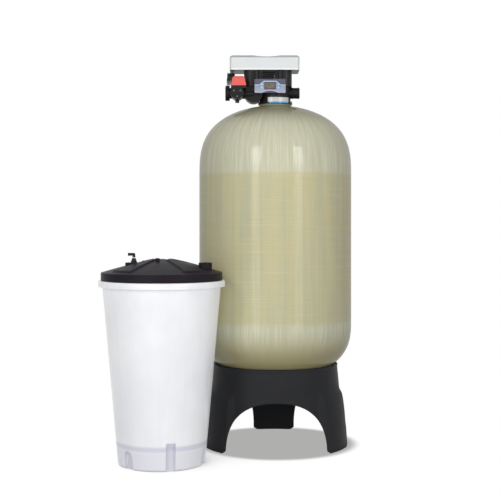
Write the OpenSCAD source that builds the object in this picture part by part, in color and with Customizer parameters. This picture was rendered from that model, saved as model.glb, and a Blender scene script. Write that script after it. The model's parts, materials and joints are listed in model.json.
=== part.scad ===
// Water softener: a wound pressure tank on a tripod base with an automatic control valve on its neck,
// and a round brine tank with a domed lid that stands in front of it to the left.
// Origin on the floor under the middle of the pair, +Z up, the display faces -Y.

/* [Standing] */
// Sideways distance between the two tanks' axes
stand_side = 641; // [600:1:760]
// Free gap between the brine tank's rim and the pressure tank's wall
stand_gap = 25; // [10:1:80]

/* [Pressure tank] */
// Outside diameter of the pressure tank
tank_d = 914; // [890:1:940]
// Length of the straight wall
tank_straight = 857; // [700:1:1100]
// Height of the bottom dome
dome_low = 362; // [340:1:390]
// Height of the top dome
dome_high = 423; // [400:1:440]
// Thickness of the wound glass-fibre shell
shell_wall = 9; // [7:0.5:12]
// Thickness of the plastic liner
liner_wall = 5; // [3:0.5:8]
// Outside diameter of the neck
neck_d = 194; // [186:1:200]
// Height of the neck's top above the dome's pole
neck_rise = 6; // [4:0.5:14]
// Diameter of the hole in the neck
neck_hole_d = 160; // [150:1:166]
// Inside diameter of the threaded insert in the neck
insert_d = 102; // [98:0.5:108]
// Depth of the threaded insert
insert_depth = 52; // [44:1:70]

/* [Tripod base] */
// Height of the rim that carries the tank
base_h = 487; // [460:1:520]
// Radius of the rim's inner edge, where the dome rests
seat_r = 356; // [340:1:362]
// Outside radius of the rim
rim_r = 373; // [370:1:380]
// Outside radius of the skirt at the waist
waist_r = 385; // [381:1:392]
// Height of the waist, where the leg pads begin
waist_z = 345; // [335:1:370]
// Outside radius of the skirt at the floor
skirt_r = 402; // [396:1:410]
// Wall thickness of the base
base_wall = 14; // [10:1:18]
// Outside radius of a leg pad at its shoulder
pad_top_r = 420; // [414:1:424]
// Outside radius of a leg pad at the floor
pad_foot_r = 437; // [430:1:445]
// Width of a leg pad
pad_w = 128; // [110:1:140]
// Half the width of an arch at the floor
arch_half = 290; // [270:1:296]
// Height of an arch
arch_h = 292; // [270:1:305]
// Fullness of an arch's curve, where 2 is an ellipse
arch_power = 2.3; // [2:0.05:2.6]
// Width of the raised lip round an arch
arch_lip = 18; // [12:1:24]
// Height of the lip above the skirt's face
lip_proud = 5; // [3:0.5:8]
// Depth of the lip's flange behind the skirt
lip_depth = 34; // [24:1:44]

/* [Tank inside] */
// Outside diameter of the riser tube
riser_d = 60; // [50:1:64]
// Wall of the riser tube
riser_wall = 4; // [3:0.5:6]
// Height of the lateral collectors above the tank's lowest point
lateral_z = 120; // [100:1:150]
// Length of one lateral collector
lateral_len = 190; // [150:1:200]
// Diameter of one lateral collector
lateral_d = 32; // [26:1:36]
// Number of lateral collectors
lateral_n = 6; // [4:1:8]
// Depth of the gravel
gravel_h = 200; // [190:1:240]
// Height of the resin's top above the tank's lowest point
resin_top = 1130; // [900:1:1190]

/* [Neck and valve body] */
// Diameter of the neck adapter's lower flange
collar_d = 206; // [200:1:212]
// Thickness of the lower flange
collar_t = 12; // [10:0.5:16]
// Diameter of the neck adapter above the flange
adapter_d = 186; // [180:1:190]
// Height of the neck adapter
adapter_h = 38; // [34:1:46]
// Diameter of the valve barrel
barrel_d = 176; // [170:1:178]
// Height of the valve barrel
barrel_h = 65; // [62:1:72]
// Height of the pipe ports' axis above the neck
port_z = 70; // [68:1:74]
// Diameter of the cross manifold
manifold_d = 68; // [66:1:70]
// Reach of the manifold to the left of the tank's axis
manifold_left = 196; // [192:1:200]
// Reach of the manifold to the right of the tank's axis
manifold_right = 98; // [94:1:104]
// Diameter of the round front chamber
chamber_d = 112; // [104:1:114]
// Distance of the chamber's axis to the left of the tank's axis
chamber_x = 131; // [129:1:134]
// Height of the chamber's axis above the neck
chamber_z = 62; // [60:1:66]
// Depth of the disc chamber in the barrel
disc_depth = 48; // [46:1:52]
// Diameter of the ceramic discs
disc_d = 140; // [130:1:144]
// Thickness of one ceramic disc
disc_t = 12; // [10:0.5:13]

/* [Pipe ports] */
// Outside diameter of the inlet and outlet ports
port_d = 65; // [62:1:66]
// Bore of the inlet and outlet ports
port_bore = 50; // [44:1:52]
// Length of the outlet port
outlet_len = 48; // [40:1:60]
// Length of the inlet port
inlet_len = 104; // [100:1:112]
// Diameter of the inlet's union nut
nut_d = 82; // [78:1:84]
// Height of the nut's lugs
nut_lug = 4; // [2:0.5:5]
// Length of the inlet's union nut
nut_len = 26; // [20:1:27]
// Outside diameter of the drain port
drain_d = 48; // [42:1:52]
// Bore of the drain port
drain_bore = 34; // [28:1:36]
// Length of the drain port
drain_len = 48; // [36:1:60]
// Distance of the drain port to the left of the tank's axis
drain_x = 40; // [30:1:44]

/* [Gear housing and cover] */
// Width of the gear housing
housing_w = 287; // [280:1:292]
// Depth of the gear housing
housing_d = 180; // [176:1:186]
// Height of the gear housing
housing_h = 96; // [92:1:104]
// Distance of the housing's middle to the left of the tank's axis
housing_x = 44.5; // [43:0.5:46]
// Corner radius of the gear housing
housing_round = 45; // [42:1:48]
// Wall of the gear housing
housing_wall = 4; // [3:0.5:5]
// Radius of the half-round pillars on the housing's front
pillar_r = 14; // [10:1:16]
// Number of vent slots
vent_n = 4; // [3:1:5]
// Height of one vent slot
vent_h = 5; // [3:0.5:6]
// Width of the dust cover
cover_w = 416; // [408:1:424]
// Depth of the dust cover
cover_d = 196; // [190:1:204]
// Height of the dust cover
cover_h = 88; // [84:1:96]
// Distance of the cover's middle to the left of the tank's axis
cover_x = 65; // [63:0.5:67]
// Corner radius of the dust cover
cover_round = 20; // [14:1:28]
// Bevel round the cover's top
cover_bevel = 15; // [10:0.5:20]
// Wall of the dust cover
cover_wall = 3.5; // [2.5:0.5:5]
// Width of the shallow dip in the cover's top
dip_w = 161; // [140:1:180]
// Depth of the shallow dip
dip_depth = 8; // [5:0.5:10]
// Thickness of the gear deck
deck_t = 4; // [3:0.5:5]

/* [Drive] */
// Gear module
gear_module = 3; // [2.8:0.1:3.1]
// Teeth on the drive gear
drive_teeth = 48; // [44:4:48]
// Teeth on the motor pinion
pinion_teeth = 16; // [16:4:20]
// Width of the gear teeth
gear_t = 12; // [9:0.5:14]
// Diameter of the spindle
spindle_d = 24; // [20:1:26]
// Diameter of the motor shaft
motor_shaft_d = 8; // [6:0.5:9]

/* [Display] */
// Width of the display console
console_w = 184; // [178:1:190]
// Height of the display console
console_h = 83; // [80:1:88]
// Depth of the display console behind its fascia
console_d = 25; // [24:1:30]
// Distance of the console's middle to the left of the tank's axis
console_x = 33; // [30:0.5:36]
// Height of the console's middle above the neck
console_z = 100.5; // [99:0.5:102]
// Thickness of the fascia
fascia_t = 3; // [2:0.5:4]
// Width of the display window
window_w = 68; // [60:1:74]
// Height of the display window
window_h = 43; // [36:1:48]
// Diameter of a button
button_d = 13; // [10:0.5:14]
// Sideways distance between the two button columns
button_span = 99; // [96:0.5:106]
// Height between the two button rows
button_rise = 19; // [18:0.5:24]
// Travel of a button
button_travel = 0.8; // [0.5:0.1:1]

/* [Brine valve] */
// Distance of the brine valve to the left of the tank's axis
brine_valve_x = 228; // [224:0.5:229]
// Height of the brine valve's axis above the neck
brine_valve_z = 58; // [57:0.5:60]
// Diameter of the brine valve body
brine_valve_d = 78; // [70:1:79]
// Front end of the brine valve body, in front of the tank's axis
brine_valve_front = 140; // [136:1:146]
// Back end of the brine valve body, in front of the tank's axis
brine_valve_back = 37; // [36:1:40]
// Diameter of the ball
ball_d = 28; // [24:0.5:30]
// Bore of the ball and of its seats
ball_bore = 16; // [12:0.5:18]
// Diameter of the ball's stem
stem_d = 10; // [8:0.5:12]
// Distance of the stem in front of the tank's axis
stem_y = 112; // [110:1:114]
// Bore of the brine hose nipple and of the elbow
hose_bore = 10; // [8:0.5:11]
// Width of the actuator at its foot
actuator_w = 90; // [84:1:92]
// Depth of the actuator
actuator_d = 64; // [58:1:66]
// Height of the actuator's cover
actuator_h = 58; // [52:1:62]
// Draw-in of the actuator's cover on each side at its top
actuator_taper = 8.5; // [4:0.5:12]

/* [Actuator cable] */
// Diameter of the cable
cable_d = 5.5; // [5:0.1:6]
// Number of loops in the coil
coil_loops = 6; // [4:1:6]
// Distance between neighbouring loops
coil_pitch = 7.6; // [7.4:0.1:7.8]
// Half the height of a loop
coil_rise = 36; // [34:1:37]
// Half the depth of a loop
coil_reach = 36; // [34:1:37]

/* [Brine tank] */
// Height of the brine tank's rim
brine_h = 1010; // [960:1:1060]
// Overhang of the rim beyond the wall
brine_rim_w = 23; // [18:1:33]
// Height of the rim's band
brine_rim_h = 34; // [26:1:44]
// Outside diameter of the wall under the rim
brine_top_d = 654; // [640:1:664]
// Outside diameter of the wall at the floor
brine_foot_d = 482; // [470:1:500]
// Wall of the brine tank
brine_wall = 6; // [5:0.5:8]
// Depth of the niches and slots in the foot
niche_depth = 22; // [16:1:26]
// Width of an arched niche
niche_w = 70; // [60:1:80]
// Height of an arched niche
niche_h = 95; // [80:1:110]
// Width of a square slot
slot_w = 48; // [40:1:56]
// Height of a square slot
slot_h = 150; // [140:1:170]
// Height of the salt grid's edge
grid_h = 30; // [22:1:34]
// Thickness of the salt grid
grid_t = 8; // [6:0.5:10]

/* [Lid] */
// Distance of the lid's edge inside the rim's edge
lid_set_in = 14; // [10:1:18]
// Height of the lid's skirt
lid_skirt = 43; // [36:1:50]
// Rise of the dome above the skirt
lid_rise = 75; // [66:1:84]
// Wall of the lid
lid_wall = 5; // [4:0.5:7]
// Height of the raised wedges
wedge_t = 8; // [5:0.5:10]
// Angle across one raised wedge
wedge_angle = 28; // [22:1:34]
// Turn of the front wedges from the front
wedge_turn = 42; // [36:1:48]
// Diameter of the fitting's pad
pad_d = 96; // [86:1:104]
// Diameter of the lug on the right
lug_d = 74; // [64:1:80]
// Height of the lug's top above the skirt
lug_rise = 56; // [50:1:64]
// Distance of the lug's edge inside the lid's edge, on the right
lug_set_in = 56; // [49:1:69]
// Distance of the brine fitting to the left of the lid's axis
fitting_x = 150; // [144:1:156]
// Distance of the brine fitting in front of the lid's axis
fitting_y = 45; // [40:1:50]

/* [Brine well] */
// Outside diameter of the brine well
well_d = 110; // [104:1:114]
// Wall of the brine well
well_wall = 3.5; // [3:0.5:5]
// Height of the brine well
well_h = 890; // [800:1:920]
// Offset of the well's axis to the right of the fitting
well_shift = 22; // [20:1:24]
// Length of the float's rod
float_rod_len = 420; // [380:1:470]
// Diameter of the float
float_d = 44; // [38:1:46]
// Height of the float
float_h = 90; // [70:1:110]
// Diameter of the float's rod
float_rod_d = 6; // [5:0.5:7]
// Travel of the float between open and shut
float_travel = 25; // [20:1:30]
// Travel of the lid when it is lifted
lid_travel = 350; // [300:10:360]

/* [Fits] */
// Gap between pieces that are assembled into each other
fit_gap = 0.4; // [0.3:0.05:0.5]
// Radial running clearance of a shaft in its bore
run_gap = 0.05; // [0.03:0.01:0.08]

/* [Hidden] */
$fn = 96;
// Reach of a cutting shape past the face it cuts
past = 1;

// Places of the two tanks
tank_r = tank_d / 2;
brine_rim_r = brine_top_d / 2 + brine_rim_w;
stand_apart = tank_r + brine_rim_r + stand_gap;
stand_depth = sqrt(stand_apart * stand_apart - stand_side * stand_side);
tank_x = (stand_side + brine_rim_r - tank_r) / 2;
tank_y = (stand_depth + brine_rim_r - tank_r) / 2;
brine_x = tank_x - stand_side;
brine_y = tank_y - stand_depth;

// Heights of the pressure tank
function dome_z(r, a, b) = b * pow(1 - r * r / (a * a), 1 / 3);
dome_steps = 18;
wall_low = base_h + fit_gap + dome_z(seat_r, tank_r, dome_low);
wall_high = wall_low + tank_straight;
tank_low = wall_low - dome_low;
neck_z = wall_high + dome_high + neck_rise;
liner_out = shell_wall + fit_gap;
liner_in = liner_out + liner_wall;

// Heights of the valve above the neck
valve_top = adapter_h + barrel_h;
housing_top = valve_top + housing_h;
cover_top = housing_top + cover_h;
deck_top = housing_top + deck_t;
disc_floor = valve_top - disc_depth;
seal_t = 2;
fixed_z = disc_floor + seal_t;
moving_z = fixed_z + disc_t + fit_gap;
foot_z = moving_z + disc_t;
foot_t = 6;
gear_z = deck_top + past;
gear_top = gear_z + gear_t;
spigot_r = insert_d / 2 - fit_gap;
spigot_rest = 10;
spigot_low = spigot_rest - insert_depth;
riser_top = 40;

// Gears
drive_r = gear_module * drive_teeth / 2;
pinion_r = gear_module * pinion_teeth / 2;
centres = drive_r + pinion_r;
pressure_angle = 20;
addendum = 0.8 * gear_module;
dedendum = 1.0 * gear_module;
backlash = 0.3;

// Display console
console_front = housing_d / 2 + console_d;
console_wall = 3;
console_low = console_z - console_h / 2;
console_high = console_z + console_h / 2;
console_round = 6;
board_t = 1.6;
board_set_in = 6;
board_y = console_front - board_set_in;
board_margin = 2;
key_flange = 1.5;
key_proud = 1;
key_edge = 2;

// Brine valve and actuator
seat_wall = 4;
seat_bore_d = ball_d + 2 * seat_wall;
seat_len = 12;
flange_t = 8;
brine_valve_r = brine_valve_d / 2;
boss_r = 20;
boss_y = 66;
boss_proud = 1.2;
brine_seat_x = brine_valve_x - brine_valve_r - boss_proud;
actuator_x = 220;
actuator_back = 82;
actuator_lift = 26;
actuator_foot = brine_valve_z + actuator_lift;
actuator_base_h = 16;
actuator_seat = actuator_foot + actuator_base_h;
actuator_mid_y = actuator_back + actuator_d / 2;
gland_x = 232;
gland_z = 132;
gland_len = 12;
gland_r = 7;

// Cable route, from the gland to the coil and from the coil to the gear deck
cable_r = cable_d / 2;
coil_x = -243;
coil_y = -10;
coil_z = port_z + nut_d / 2 + nut_lug + fit_gap + cable_r + coil_rise;
coil_rings = 24;
cable_sides = 6;
cable_in = [[-232, -70, 132], [-232, -64, 132], [-232, -57, 131], [-233, -50, 130], [-235, -42, 127],
    [-237, -33, 123], [-240, -22, 120]];
cable_out = [[-289, 27, 162], [-286, 29, 168], [-281, 31, 172], [-274, 34, 175], [-268, 36, 178],
    [-263, 38, 182], [-259, 39, 188], [-258, 40, 193], [-258, 40, 199]];

// Brine tank
brine_foot_r = brine_foot_d / 2;
brine_top_r = brine_top_d / 2;
brine_neck = brine_h - brine_rim_h;
function brine_r(z) = brine_foot_r + (brine_top_r - brine_foot_r) * z / brine_neck;
foot_round = 14;
foot_bevel = 4;
niche_flat = brine_foot_r - niche_depth;
grid_z = niche_h + brine_wall + fit_gap;
mouth_r = brine_top_r - brine_wall;

// Lid
lid_r = brine_rim_r - lid_set_in;
lug_x = lid_r - lug_d / 2 - lug_set_in;
lid_foot = brine_h + fit_gap;
lid_shoulder = lid_foot + lid_skirt;
lid_power = 1.35;
lid_steps = 14;
function lid_z(r) = lid_rise * (1 - pow(r / lid_r, lid_power));
plug_depth = 22;
pad_proud = 8;
pad_top = lid_shoulder + lid_z(norm([fitting_x, fitting_y])) + pad_proud;
gland_h = 24;
collet_h = 6;
tube_r = hose_bore / 2 - run_gap;
tube_wall = 1.5;
elbow_wall = 2.5;
elbow_r = hose_bore / 2 + elbow_wall;
elbow_foot = pad_top + gland_h + collet_h;
elbow_leg = 15;
elbow_arm = 32;
elbow_depth = 11;

// Brine well and safety valve
well_r = well_d / 2;
well_x = well_shift - fitting_x;
well_foot = brine_wall + fit_gap;
well_top = well_foot + well_h;
check_r = 18;
check_foot = well_foot + check_r;
check_h = 50;
guide_h = 16;
clip_z = check_foot + guide_h + fit_gap;
rod_shift = 28;
rod_x = rod_shift - fitting_x;
tube_into = 10;

// Round bar along X, and round bar along Y, from one place to another
module bar_x(from, to, r) {
    translate([from, 0, 0]) rotate([0, 90, 0]) cylinder(h = to - from, r = r);
}

module bar_y(from, to, r) {
    translate([0, from, 0]) rotate([-90, 0, 0]) cylinder(h = to - from, r = r);
}

// Rectangle about the origin with round corners
module round_rect(w, d, r) {
    square([w - 2 * r, d], center = true);
    square([w, d - 2 * r], center = true);
    for (x = [-1, 1], y = [-1, 1]) translate([x * (w / 2 - r), y * (d / 2 - r)]) circle(r = r);
}

module ring(outer, inner, low, high) {
    translate([0, 0, low]) difference() {
        cylinder(h = high - low, r = outer);
        translate([0, 0, -past]) cylinder(h = high - low + 2 * past, r = inner);
    }
}

module at_tank() {
    translate([tank_x, tank_y, 0]) children();
}

module at_valve() {
    translate([tank_x, tank_y, neck_z]) children();
}

module at_brine() {
    translate([brine_x, brine_y, 0]) children();
}

// Pressure tank

// Half outline of the vessel, drawn in from its outside by an inset
function vessel_low(inset) = [for (i = [dome_steps:-1:0]) let (t = 90 * i / dome_steps)
    [(tank_r - inset) * cos(t), wall_low - (dome_low - inset) * pow(sin(t), 2 / 3)]];
function vessel_high(inset) = [for (i = [0:dome_steps]) let (t = 90 * i / dome_steps)
    [(tank_r - inset) * cos(t), wall_high + (dome_high - inset) * pow(sin(t), 2 / 3)]];

module vessel(inset) {
    rotate_extrude() polygon(concat(vessel_low(inset), vessel_high(inset)));
}

module neck_bore(r) {
    translate([0, 0, wall_high]) cylinder(h = dome_high + neck_rise + past, r = r);
}

module tank_shell() {
    color([0.72, 0.70, 0.55]) at_tank() difference() {
        union() {
            vessel(0);
            translate([0, 0, wall_high]) cylinder(h = dome_high + neck_rise, r = neck_d / 2);
        }
        vessel(shell_wall);
        neck_bore(neck_hole_d / 2);
    }
}

module tank_liner() {
    color([0.85, 0.87, 0.88]) at_tank() difference() {
        vessel(liner_out);
        vessel(liner_in);
        neck_bore(neck_hole_d / 2);
    }
}

module neck_insert() {
    color([0.15, 0.15, 0.16]) at_valve()
        ring(neck_hole_d / 2 - fit_gap, insert_d / 2, -insert_depth, 0);
}

// Tripod base

// Outline of an arch, grown outwards by a margin
arch_steps = 24;
function arch_outline(grow) = concat([[-arch_half - grow, -2 * past], [arch_half + grow, -2 * past]],
    [for (i = [0:arch_steps]) let (t = 180 * i / arch_steps)
        [sign(cos(t)) * (arch_half + grow) * pow(abs(cos(t)), 2 / arch_power),
            (arch_h + grow) * pow(sin(t), 2 / arch_power)]]);

// One arch as a prism that runs outwards from the axis; the first arch faces the front
module arch_prism(turn, grow) {
    rotate([0, 0, turn]) rotate([90, 0, 0]) linear_extrude(height = tank_r + past)
        polygon(arch_outline(grow));
}

// Ring along the skirt's slope, from a depth behind its face to a height in front of it
module skirt_band(behind, front) {
    rotate_extrude() polygon([[skirt_r - behind, -past], [skirt_r + front, -past],
        [waist_r + front, waist_z], [waist_r - behind, waist_z]]);
}

// Shoulder of a leg pad: shares of the waist's height, and of the pad's rise beyond the waist
pad_shoulder = [[0.58, 1.4], [0.78, 1.22], [0.9, 1], [0.97, 0.62]];

// The bulge of one leg in front of the skirt, drawn in by an inset, from a depth behind the skirt's face
module leg_pad(turn, inset, behind) {
    half = asin((pad_w / 2 - inset) / pad_foot_r);
    rise = pad_top_r - waist_r;
    high = waist_z - inset;
    rotate([0, 0, turn - half]) rotate_extrude(angle = 2 * half)
        polygon(concat([[skirt_r - behind, -past], [pad_foot_r - inset, -past]],
            [for (p = pad_shoulder) [waist_r + rise * p[1] - inset, high * p[0]]],
            [[waist_r - behind, high]]));
}

module tank_base() {
    rim_bead = 6;
    bead_proud = 2;
    seat_slope = 4;
    arch_turns = [0, 120, 240];
    leg_turns = [90, 210, 330];
    color([0.10, 0.10, 0.12]) at_tank() difference() {
        intersection() {
            cylinder(h = base_h, r = tank_r);
            union() {
                rotate_extrude() polygon([[skirt_r - base_wall, -past], [skirt_r, -past], [waist_r, waist_z],
                    [rim_r, base_h - 3 * rim_bead], [rim_r + bead_proud, base_h - 2 * rim_bead],
                    [rim_r, base_h - rim_bead / 2], [rim_r - rim_bead, base_h + past],
                    [seat_r, base_h + past], [seat_r - seat_slope, base_h - 3 * rim_bead],
                    [waist_r - base_wall, waist_z]]);
                for (turn = leg_turns) leg_pad(turn, 0, base_wall / 2);
                intersection() {
                    skirt_band(lip_depth, lip_proud);
                    for (turn = arch_turns) arch_prism(turn, arch_lip);
                }
            }
        }
        for (turn = leg_turns) leg_pad(turn, base_wall, base_wall + lip_depth);
        for (turn = arch_turns) arch_prism(turn, 0);
    }
}

// Inside of the pressure tank

module riser() {
    ring(riser_d / 2, riser_d / 2 - riser_wall, tank_low + lateral_z, neck_z + riser_top);
}

module riser_tube() {
    color([0.92, 0.92, 0.90]) at_tank() riser();
}

hub_wall = 16;
hub_r = riser_d / 2 + hub_wall;
hub_low = lateral_z - lateral_d;
hub_high = lateral_z + lateral_d;

module hub_solid(grow) {
    translate([0, 0, tank_low + hub_low - grow])
        cylinder(h = hub_high - hub_low + 2 * grow, r = hub_r + grow);
}

module laterals_solid(from, grow) {
    for (i = [0:lateral_n - 1]) rotate([0, 0, 360 * i / lateral_n])
        translate([0, 0, tank_low + lateral_z])
            bar_x(from, hub_r + lateral_len + grow, lateral_d / 2 + grow);
}

module distributor_hub() {
    color([0.20, 0.30, 0.55]) at_tank() difference() {
        hub_solid(0);
        translate([0, 0, tank_low + lateral_z]) cylinder(h = lateral_d + past, r = riser_d / 2 + fit_gap);
    }
}

module distributor_laterals() {
    slots = 7;
    slot_t = 3;
    color([0.20, 0.30, 0.55]) at_tank() difference() {
        laterals_solid(hub_r + fit_gap, 0);
        for (i = [0:lateral_n - 1], k = [1:slots]) rotate([0, 0, 360 * i / lateral_n])
            translate([hub_r + lateral_len * k / (slots + 1), 0, tank_low + lateral_z - lateral_d / 2])
                cube([slot_t, lateral_d, lateral_d / 2], center = true);
    }
}

// The filling of the liner between two heights, clear of the riser
module filling(low, high) {
    difference() {
        intersection() {
            vessel(liner_in + fit_gap);
            translate([0, 0, low]) cylinder(h = high - low, r = tank_r);
        }
        translate([0, 0, low - past]) cylinder(h = high - low + 2 * past, r = riser_d / 2 + fit_gap);
    }
}

module gravel_bed() {
    color([0.55, 0.50, 0.44]) at_tank() difference() {
        filling(tank_low, tank_low + gravel_h);
        hub_solid(fit_gap);
        laterals_solid(riser_d / 2, fit_gap);
    }
}

module resin_bed() {
    color([0.72, 0.45, 0.15]) at_tank() filling(tank_low + gravel_h + fit_gap, tank_low + resin_top);
}

module upper_distributor() {
    basket_h = 70;
    basket_wall = 4;
    basket_slots = 12;
    slot_t = 4;
    slot_low = 10;
    slot_len = basket_h - 2.4 * slot_low;
    basket_gap = 6;
    basket_out = spigot_r - basket_gap;
    top = spigot_low - fit_gap;
    foot = top - basket_h;
    color([0.20, 0.30, 0.55]) at_valve() difference() {
        ring(basket_out, riser_d / 2 + fit_gap, foot, top);
        ring(basket_out - basket_wall, riser_d / 2 + basket_wall, foot + basket_wall, top + past);
        for (i = [0:basket_slots - 1]) rotate([0, 0, 360 * i / basket_slots])
            translate([basket_out - 2 * basket_wall, -slot_t / 2, foot + slot_low])
                cube([4 * basket_wall, slot_t, slot_len]);
    }
}

// Neck adapter and valve body

bolt_n = 4;
bolt_r = 3;
bolt_ring = (collar_d + adapter_d) / 4;
bolt_head = 5;
oring_ring = neck_d / 2 - 20;
oring_r = 3;

module neck_adapter() {
    color([0.11, 0.11, 0.12]) at_valve() difference() {
        union() {
            cylinder(h = collar_t, r = collar_d / 2);
            cylinder(h = adapter_h, r = adapter_d / 2);
        }
        translate([0, 0, -past]) cylinder(h = adapter_h + 2 * past, r = insert_d / 2);
        rotate_extrude() translate([oring_ring, 0]) circle(r = oring_r + fit_gap);
        for (i = [0:bolt_n - 1]) rotate([0, 0, 360 * i / bolt_n])
            translate([bolt_ring, 0, -past]) cylinder(h = collar_t + 2 * past, r = bolt_r + fit_gap);
        for (i = [0:bolt_n - 1]) rotate([0, 0, 360 * i / bolt_n])
            translate([bolt_ring, 0, collar_t]) cylinder(h = adapter_h, r = bolt_head + fit_gap);
    }
}

module neck_oring() {
    color([0.05, 0.05, 0.05]) at_valve() intersection() {
        rotate_extrude() translate([oring_ring, 0]) circle(r = oring_r);
        cylinder(h = 2 * oring_r, r = neck_d / 2);
    }
}

module clamp_bolts() {
    color([0.62, 0.63, 0.65]) at_valve() for (i = [0:bolt_n - 1]) rotate([0, 0, 360 * i / bolt_n])
        translate([bolt_ring, 0, 0]) {
            cylinder(h = collar_t + past, r = bolt_r);
            translate([0, 0, collar_t]) cylinder(h = 2 * bolt_head, r = bolt_head, $fn = 6);
        }
}

drain_boss = 6;
drain_boss_r = drain_d / 2 + drain_boss;
drain_seat = barrel_d / 2 + drain_boss;

module valve_body() {
    chamber_gap = 4;
    chamber_front = actuator_back - chamber_gap;
    chamber_back = 30;
    disc_room = 2;
    color([0.12, 0.12, 0.13]) at_valve() difference() {
        union() {
            translate([0, 0, spigot_low]) cylinder(h = insert_depth, r = spigot_r);
            cylinder(h = adapter_h + past, r = spigot_r);
            translate([0, 0, adapter_h]) cylinder(h = barrel_h, r = barrel_d / 2);
            difference() {
                union() {
                    translate([0, 0, port_z]) bar_x(-manifold_left, manifold_right, manifold_d / 2);
                    translate([-chamber_x, 0, chamber_z]) bar_y(-chamber_front, chamber_back, chamber_d / 2);
                    translate([0, -boss_y, brine_valve_z]) bar_x(-brine_seat_x, -chamber_x, boss_r);
                    translate([-drain_x, 0, port_z]) bar_y(0, drain_seat, drain_boss_r);
                }
                translate([-tank_r, -tank_r, valve_top]) cube([tank_d, tank_d, tank_d]);
                translate([0, 0, -tank_r]) cylinder(h = tank_r + adapter_h, r = collar_d / 2 + fit_gap);
            }
        }
        translate([0, 0, -insert_depth])
            cylinder(h = insert_depth + riser_top + fit_gap, r = riser_d / 2 + fit_gap);
        translate([0, 0, disc_floor]) cylinder(h = disc_depth + past, r = disc_d / 2 + disc_room);
    }
}

// Pipe ports

module inlet_port() {
    bead = 3;
    color([0.13, 0.13, 0.14]) at_valve() translate([-manifold_left - fit_gap, 0, port_z]) rotate([0, -90, 0])
        difference() {
            union() {
                cylinder(h = inlet_len, r = port_d / 2);
                cylinder(h = 3 * bead, r = manifold_d / 2);
            }
            translate([0, 0, -past]) cylinder(h = inlet_len + 2 * past, r = port_bore / 2);
        }
}

module inlet_union_nut() {
    lugs = 6;
    lug_w = 12;
    from = -manifold_left - fit_gap - inlet_len + nut_len;
    color([0.14, 0.14, 0.15]) at_valve() translate([from, 0, port_z]) rotate([0, -90, 0]) difference() {
        union() {
            cylinder(h = nut_len, r = nut_d / 2);
            for (i = [0:lugs - 1]) rotate([0, 0, 360 * i / lugs])
                translate([0, -lug_w / 2, 0]) cube([nut_d / 2 + nut_lug, lug_w, nut_len]);
        }
        translate([0, 0, -past]) cylinder(h = nut_len + 2 * past, r = port_d / 2 + fit_gap);
    }
}

module outlet_port() {
    bead = 4;
    past_housing = max(0, housing_w / 2 - housing_x - manifold_right);
    color([0.13, 0.13, 0.14]) at_valve() translate([manifold_right + fit_gap, 0, port_z]) rotate([0, 90, 0])
        difference() {
            union() {
                cylinder(h = outlet_len, r = port_d / 2);
                translate([0, 0, outlet_len - 2 * bead]) rotate_extrude()
                    translate([port_d / 2 - bead / 2, 0]) circle(r = bead);
                translate([0, 0, past_housing]) cylinder(h = 2 * bead, r = manifold_d / 2);
            }
            translate([0, 0, -past]) cylinder(h = outlet_len + 2 * past, r = port_bore / 2);
        }
}

module drain_port() {
    bead = 4;
    seat = drain_seat + fit_gap;
    color([0.13, 0.13, 0.14]) at_valve() translate([-drain_x, seat, port_z]) rotate([-90, 0, 0])
        difference() {
            union() {
                cylinder(h = drain_len, r = drain_d / 2);
                cylinder(h = 2 * bead, r = drain_boss_r);
            }
            translate([0, 0, -past]) cylinder(h = drain_len + 2 * past, r = drain_bore / 2);
        }
}

// Disc valve and drive

module disc_seal() {
    color([0.06, 0.06, 0.06]) at_valve() ring(disc_d / 2, riser_d / 2, disc_floor, disc_floor + seal_t);
}

key_w = 16;

// Three fan-shaped ports through a disc
module disc_ports(low) {
    web = 10;
    for (turn = [0, 120, 240]) rotate([0, 0, turn + web]) translate([0, 0, low - past])
        rotate_extrude(angle = 120 - 2 * web) translate([disc_d / 4, 0])
            square([disc_d / 6, disc_t + 2 * past]);
}

module fixed_disc() {
    color([0.90, 0.88, 0.82]) at_valve() difference() {
        translate([0, 0, fixed_z]) cylinder(h = disc_t, r = disc_d / 2);
        disc_ports(fixed_z);
    }
}

module moving_disc() {
    edge = 4;
    color([0.88, 0.86, 0.80]) at_valve() difference() {
        translate([0, 0, moving_z]) cylinder(h = disc_t, r = disc_d / 2 - edge);
        intersection() {
            disc_ports(moving_z);
            translate([0, -disc_d / 2, moving_z - past]) cube([disc_d, disc_d, disc_t + 2 * past]);
        }
        translate([-key_w / 2 - fit_gap, -key_w / 2 - fit_gap, moving_z + disc_t / 2])
            cube([key_w + 2 * fit_gap, key_w + 2 * fit_gap, disc_t]);
    }
}

module spindle() {
    above_gear = 4;
    key_z = moving_z + disc_t / 2 + fit_gap;
    color([0.75, 0.76, 0.78]) at_valve() {
        translate([-key_w / 2, -key_w / 2, key_z]) cube([key_w, key_w, disc_t / 2]);
        translate([0, 0, foot_z + fit_gap]) cylinder(h = foot_t, r = spindle_d);
        translate([0, 0, foot_z + fit_gap]) cylinder(h = gear_top + above_gear - foot_z, r = spindle_d / 2);
    }
}

cap_t = 8;
cap_r = disc_d / 2 + cap_t;

module valve_cap() {
    color([0.16, 0.16, 0.17]) at_valve() difference() {
        union() {
            translate([0, 0, valve_top]) cylinder(h = cap_t, r = cap_r);
            translate([0, 0, foot_z + foot_t + 2 * fit_gap])
                cylinder(h = valve_top - foot_z - foot_t, r = disc_d / 2);
        }
        translate([0, 0, disc_floor]) cylinder(h = disc_depth + cap_t + past, r = spindle_d / 2 + run_gap);
    }
}

// Half a tooth's angle at a radius: involute flanks that narrow towards the tip
function involute(r, base) = r > base ? tan(acos(base / r)) * 180 / PI - acos(base / r) : 0;
function half_tooth(r, pitch, teeth) = 90 / teeth - backlash / pitch * 45 / PI
    + involute(pitch, pitch * cos(pressure_angle)) - involute(r, pitch * cos(pressure_angle));

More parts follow.
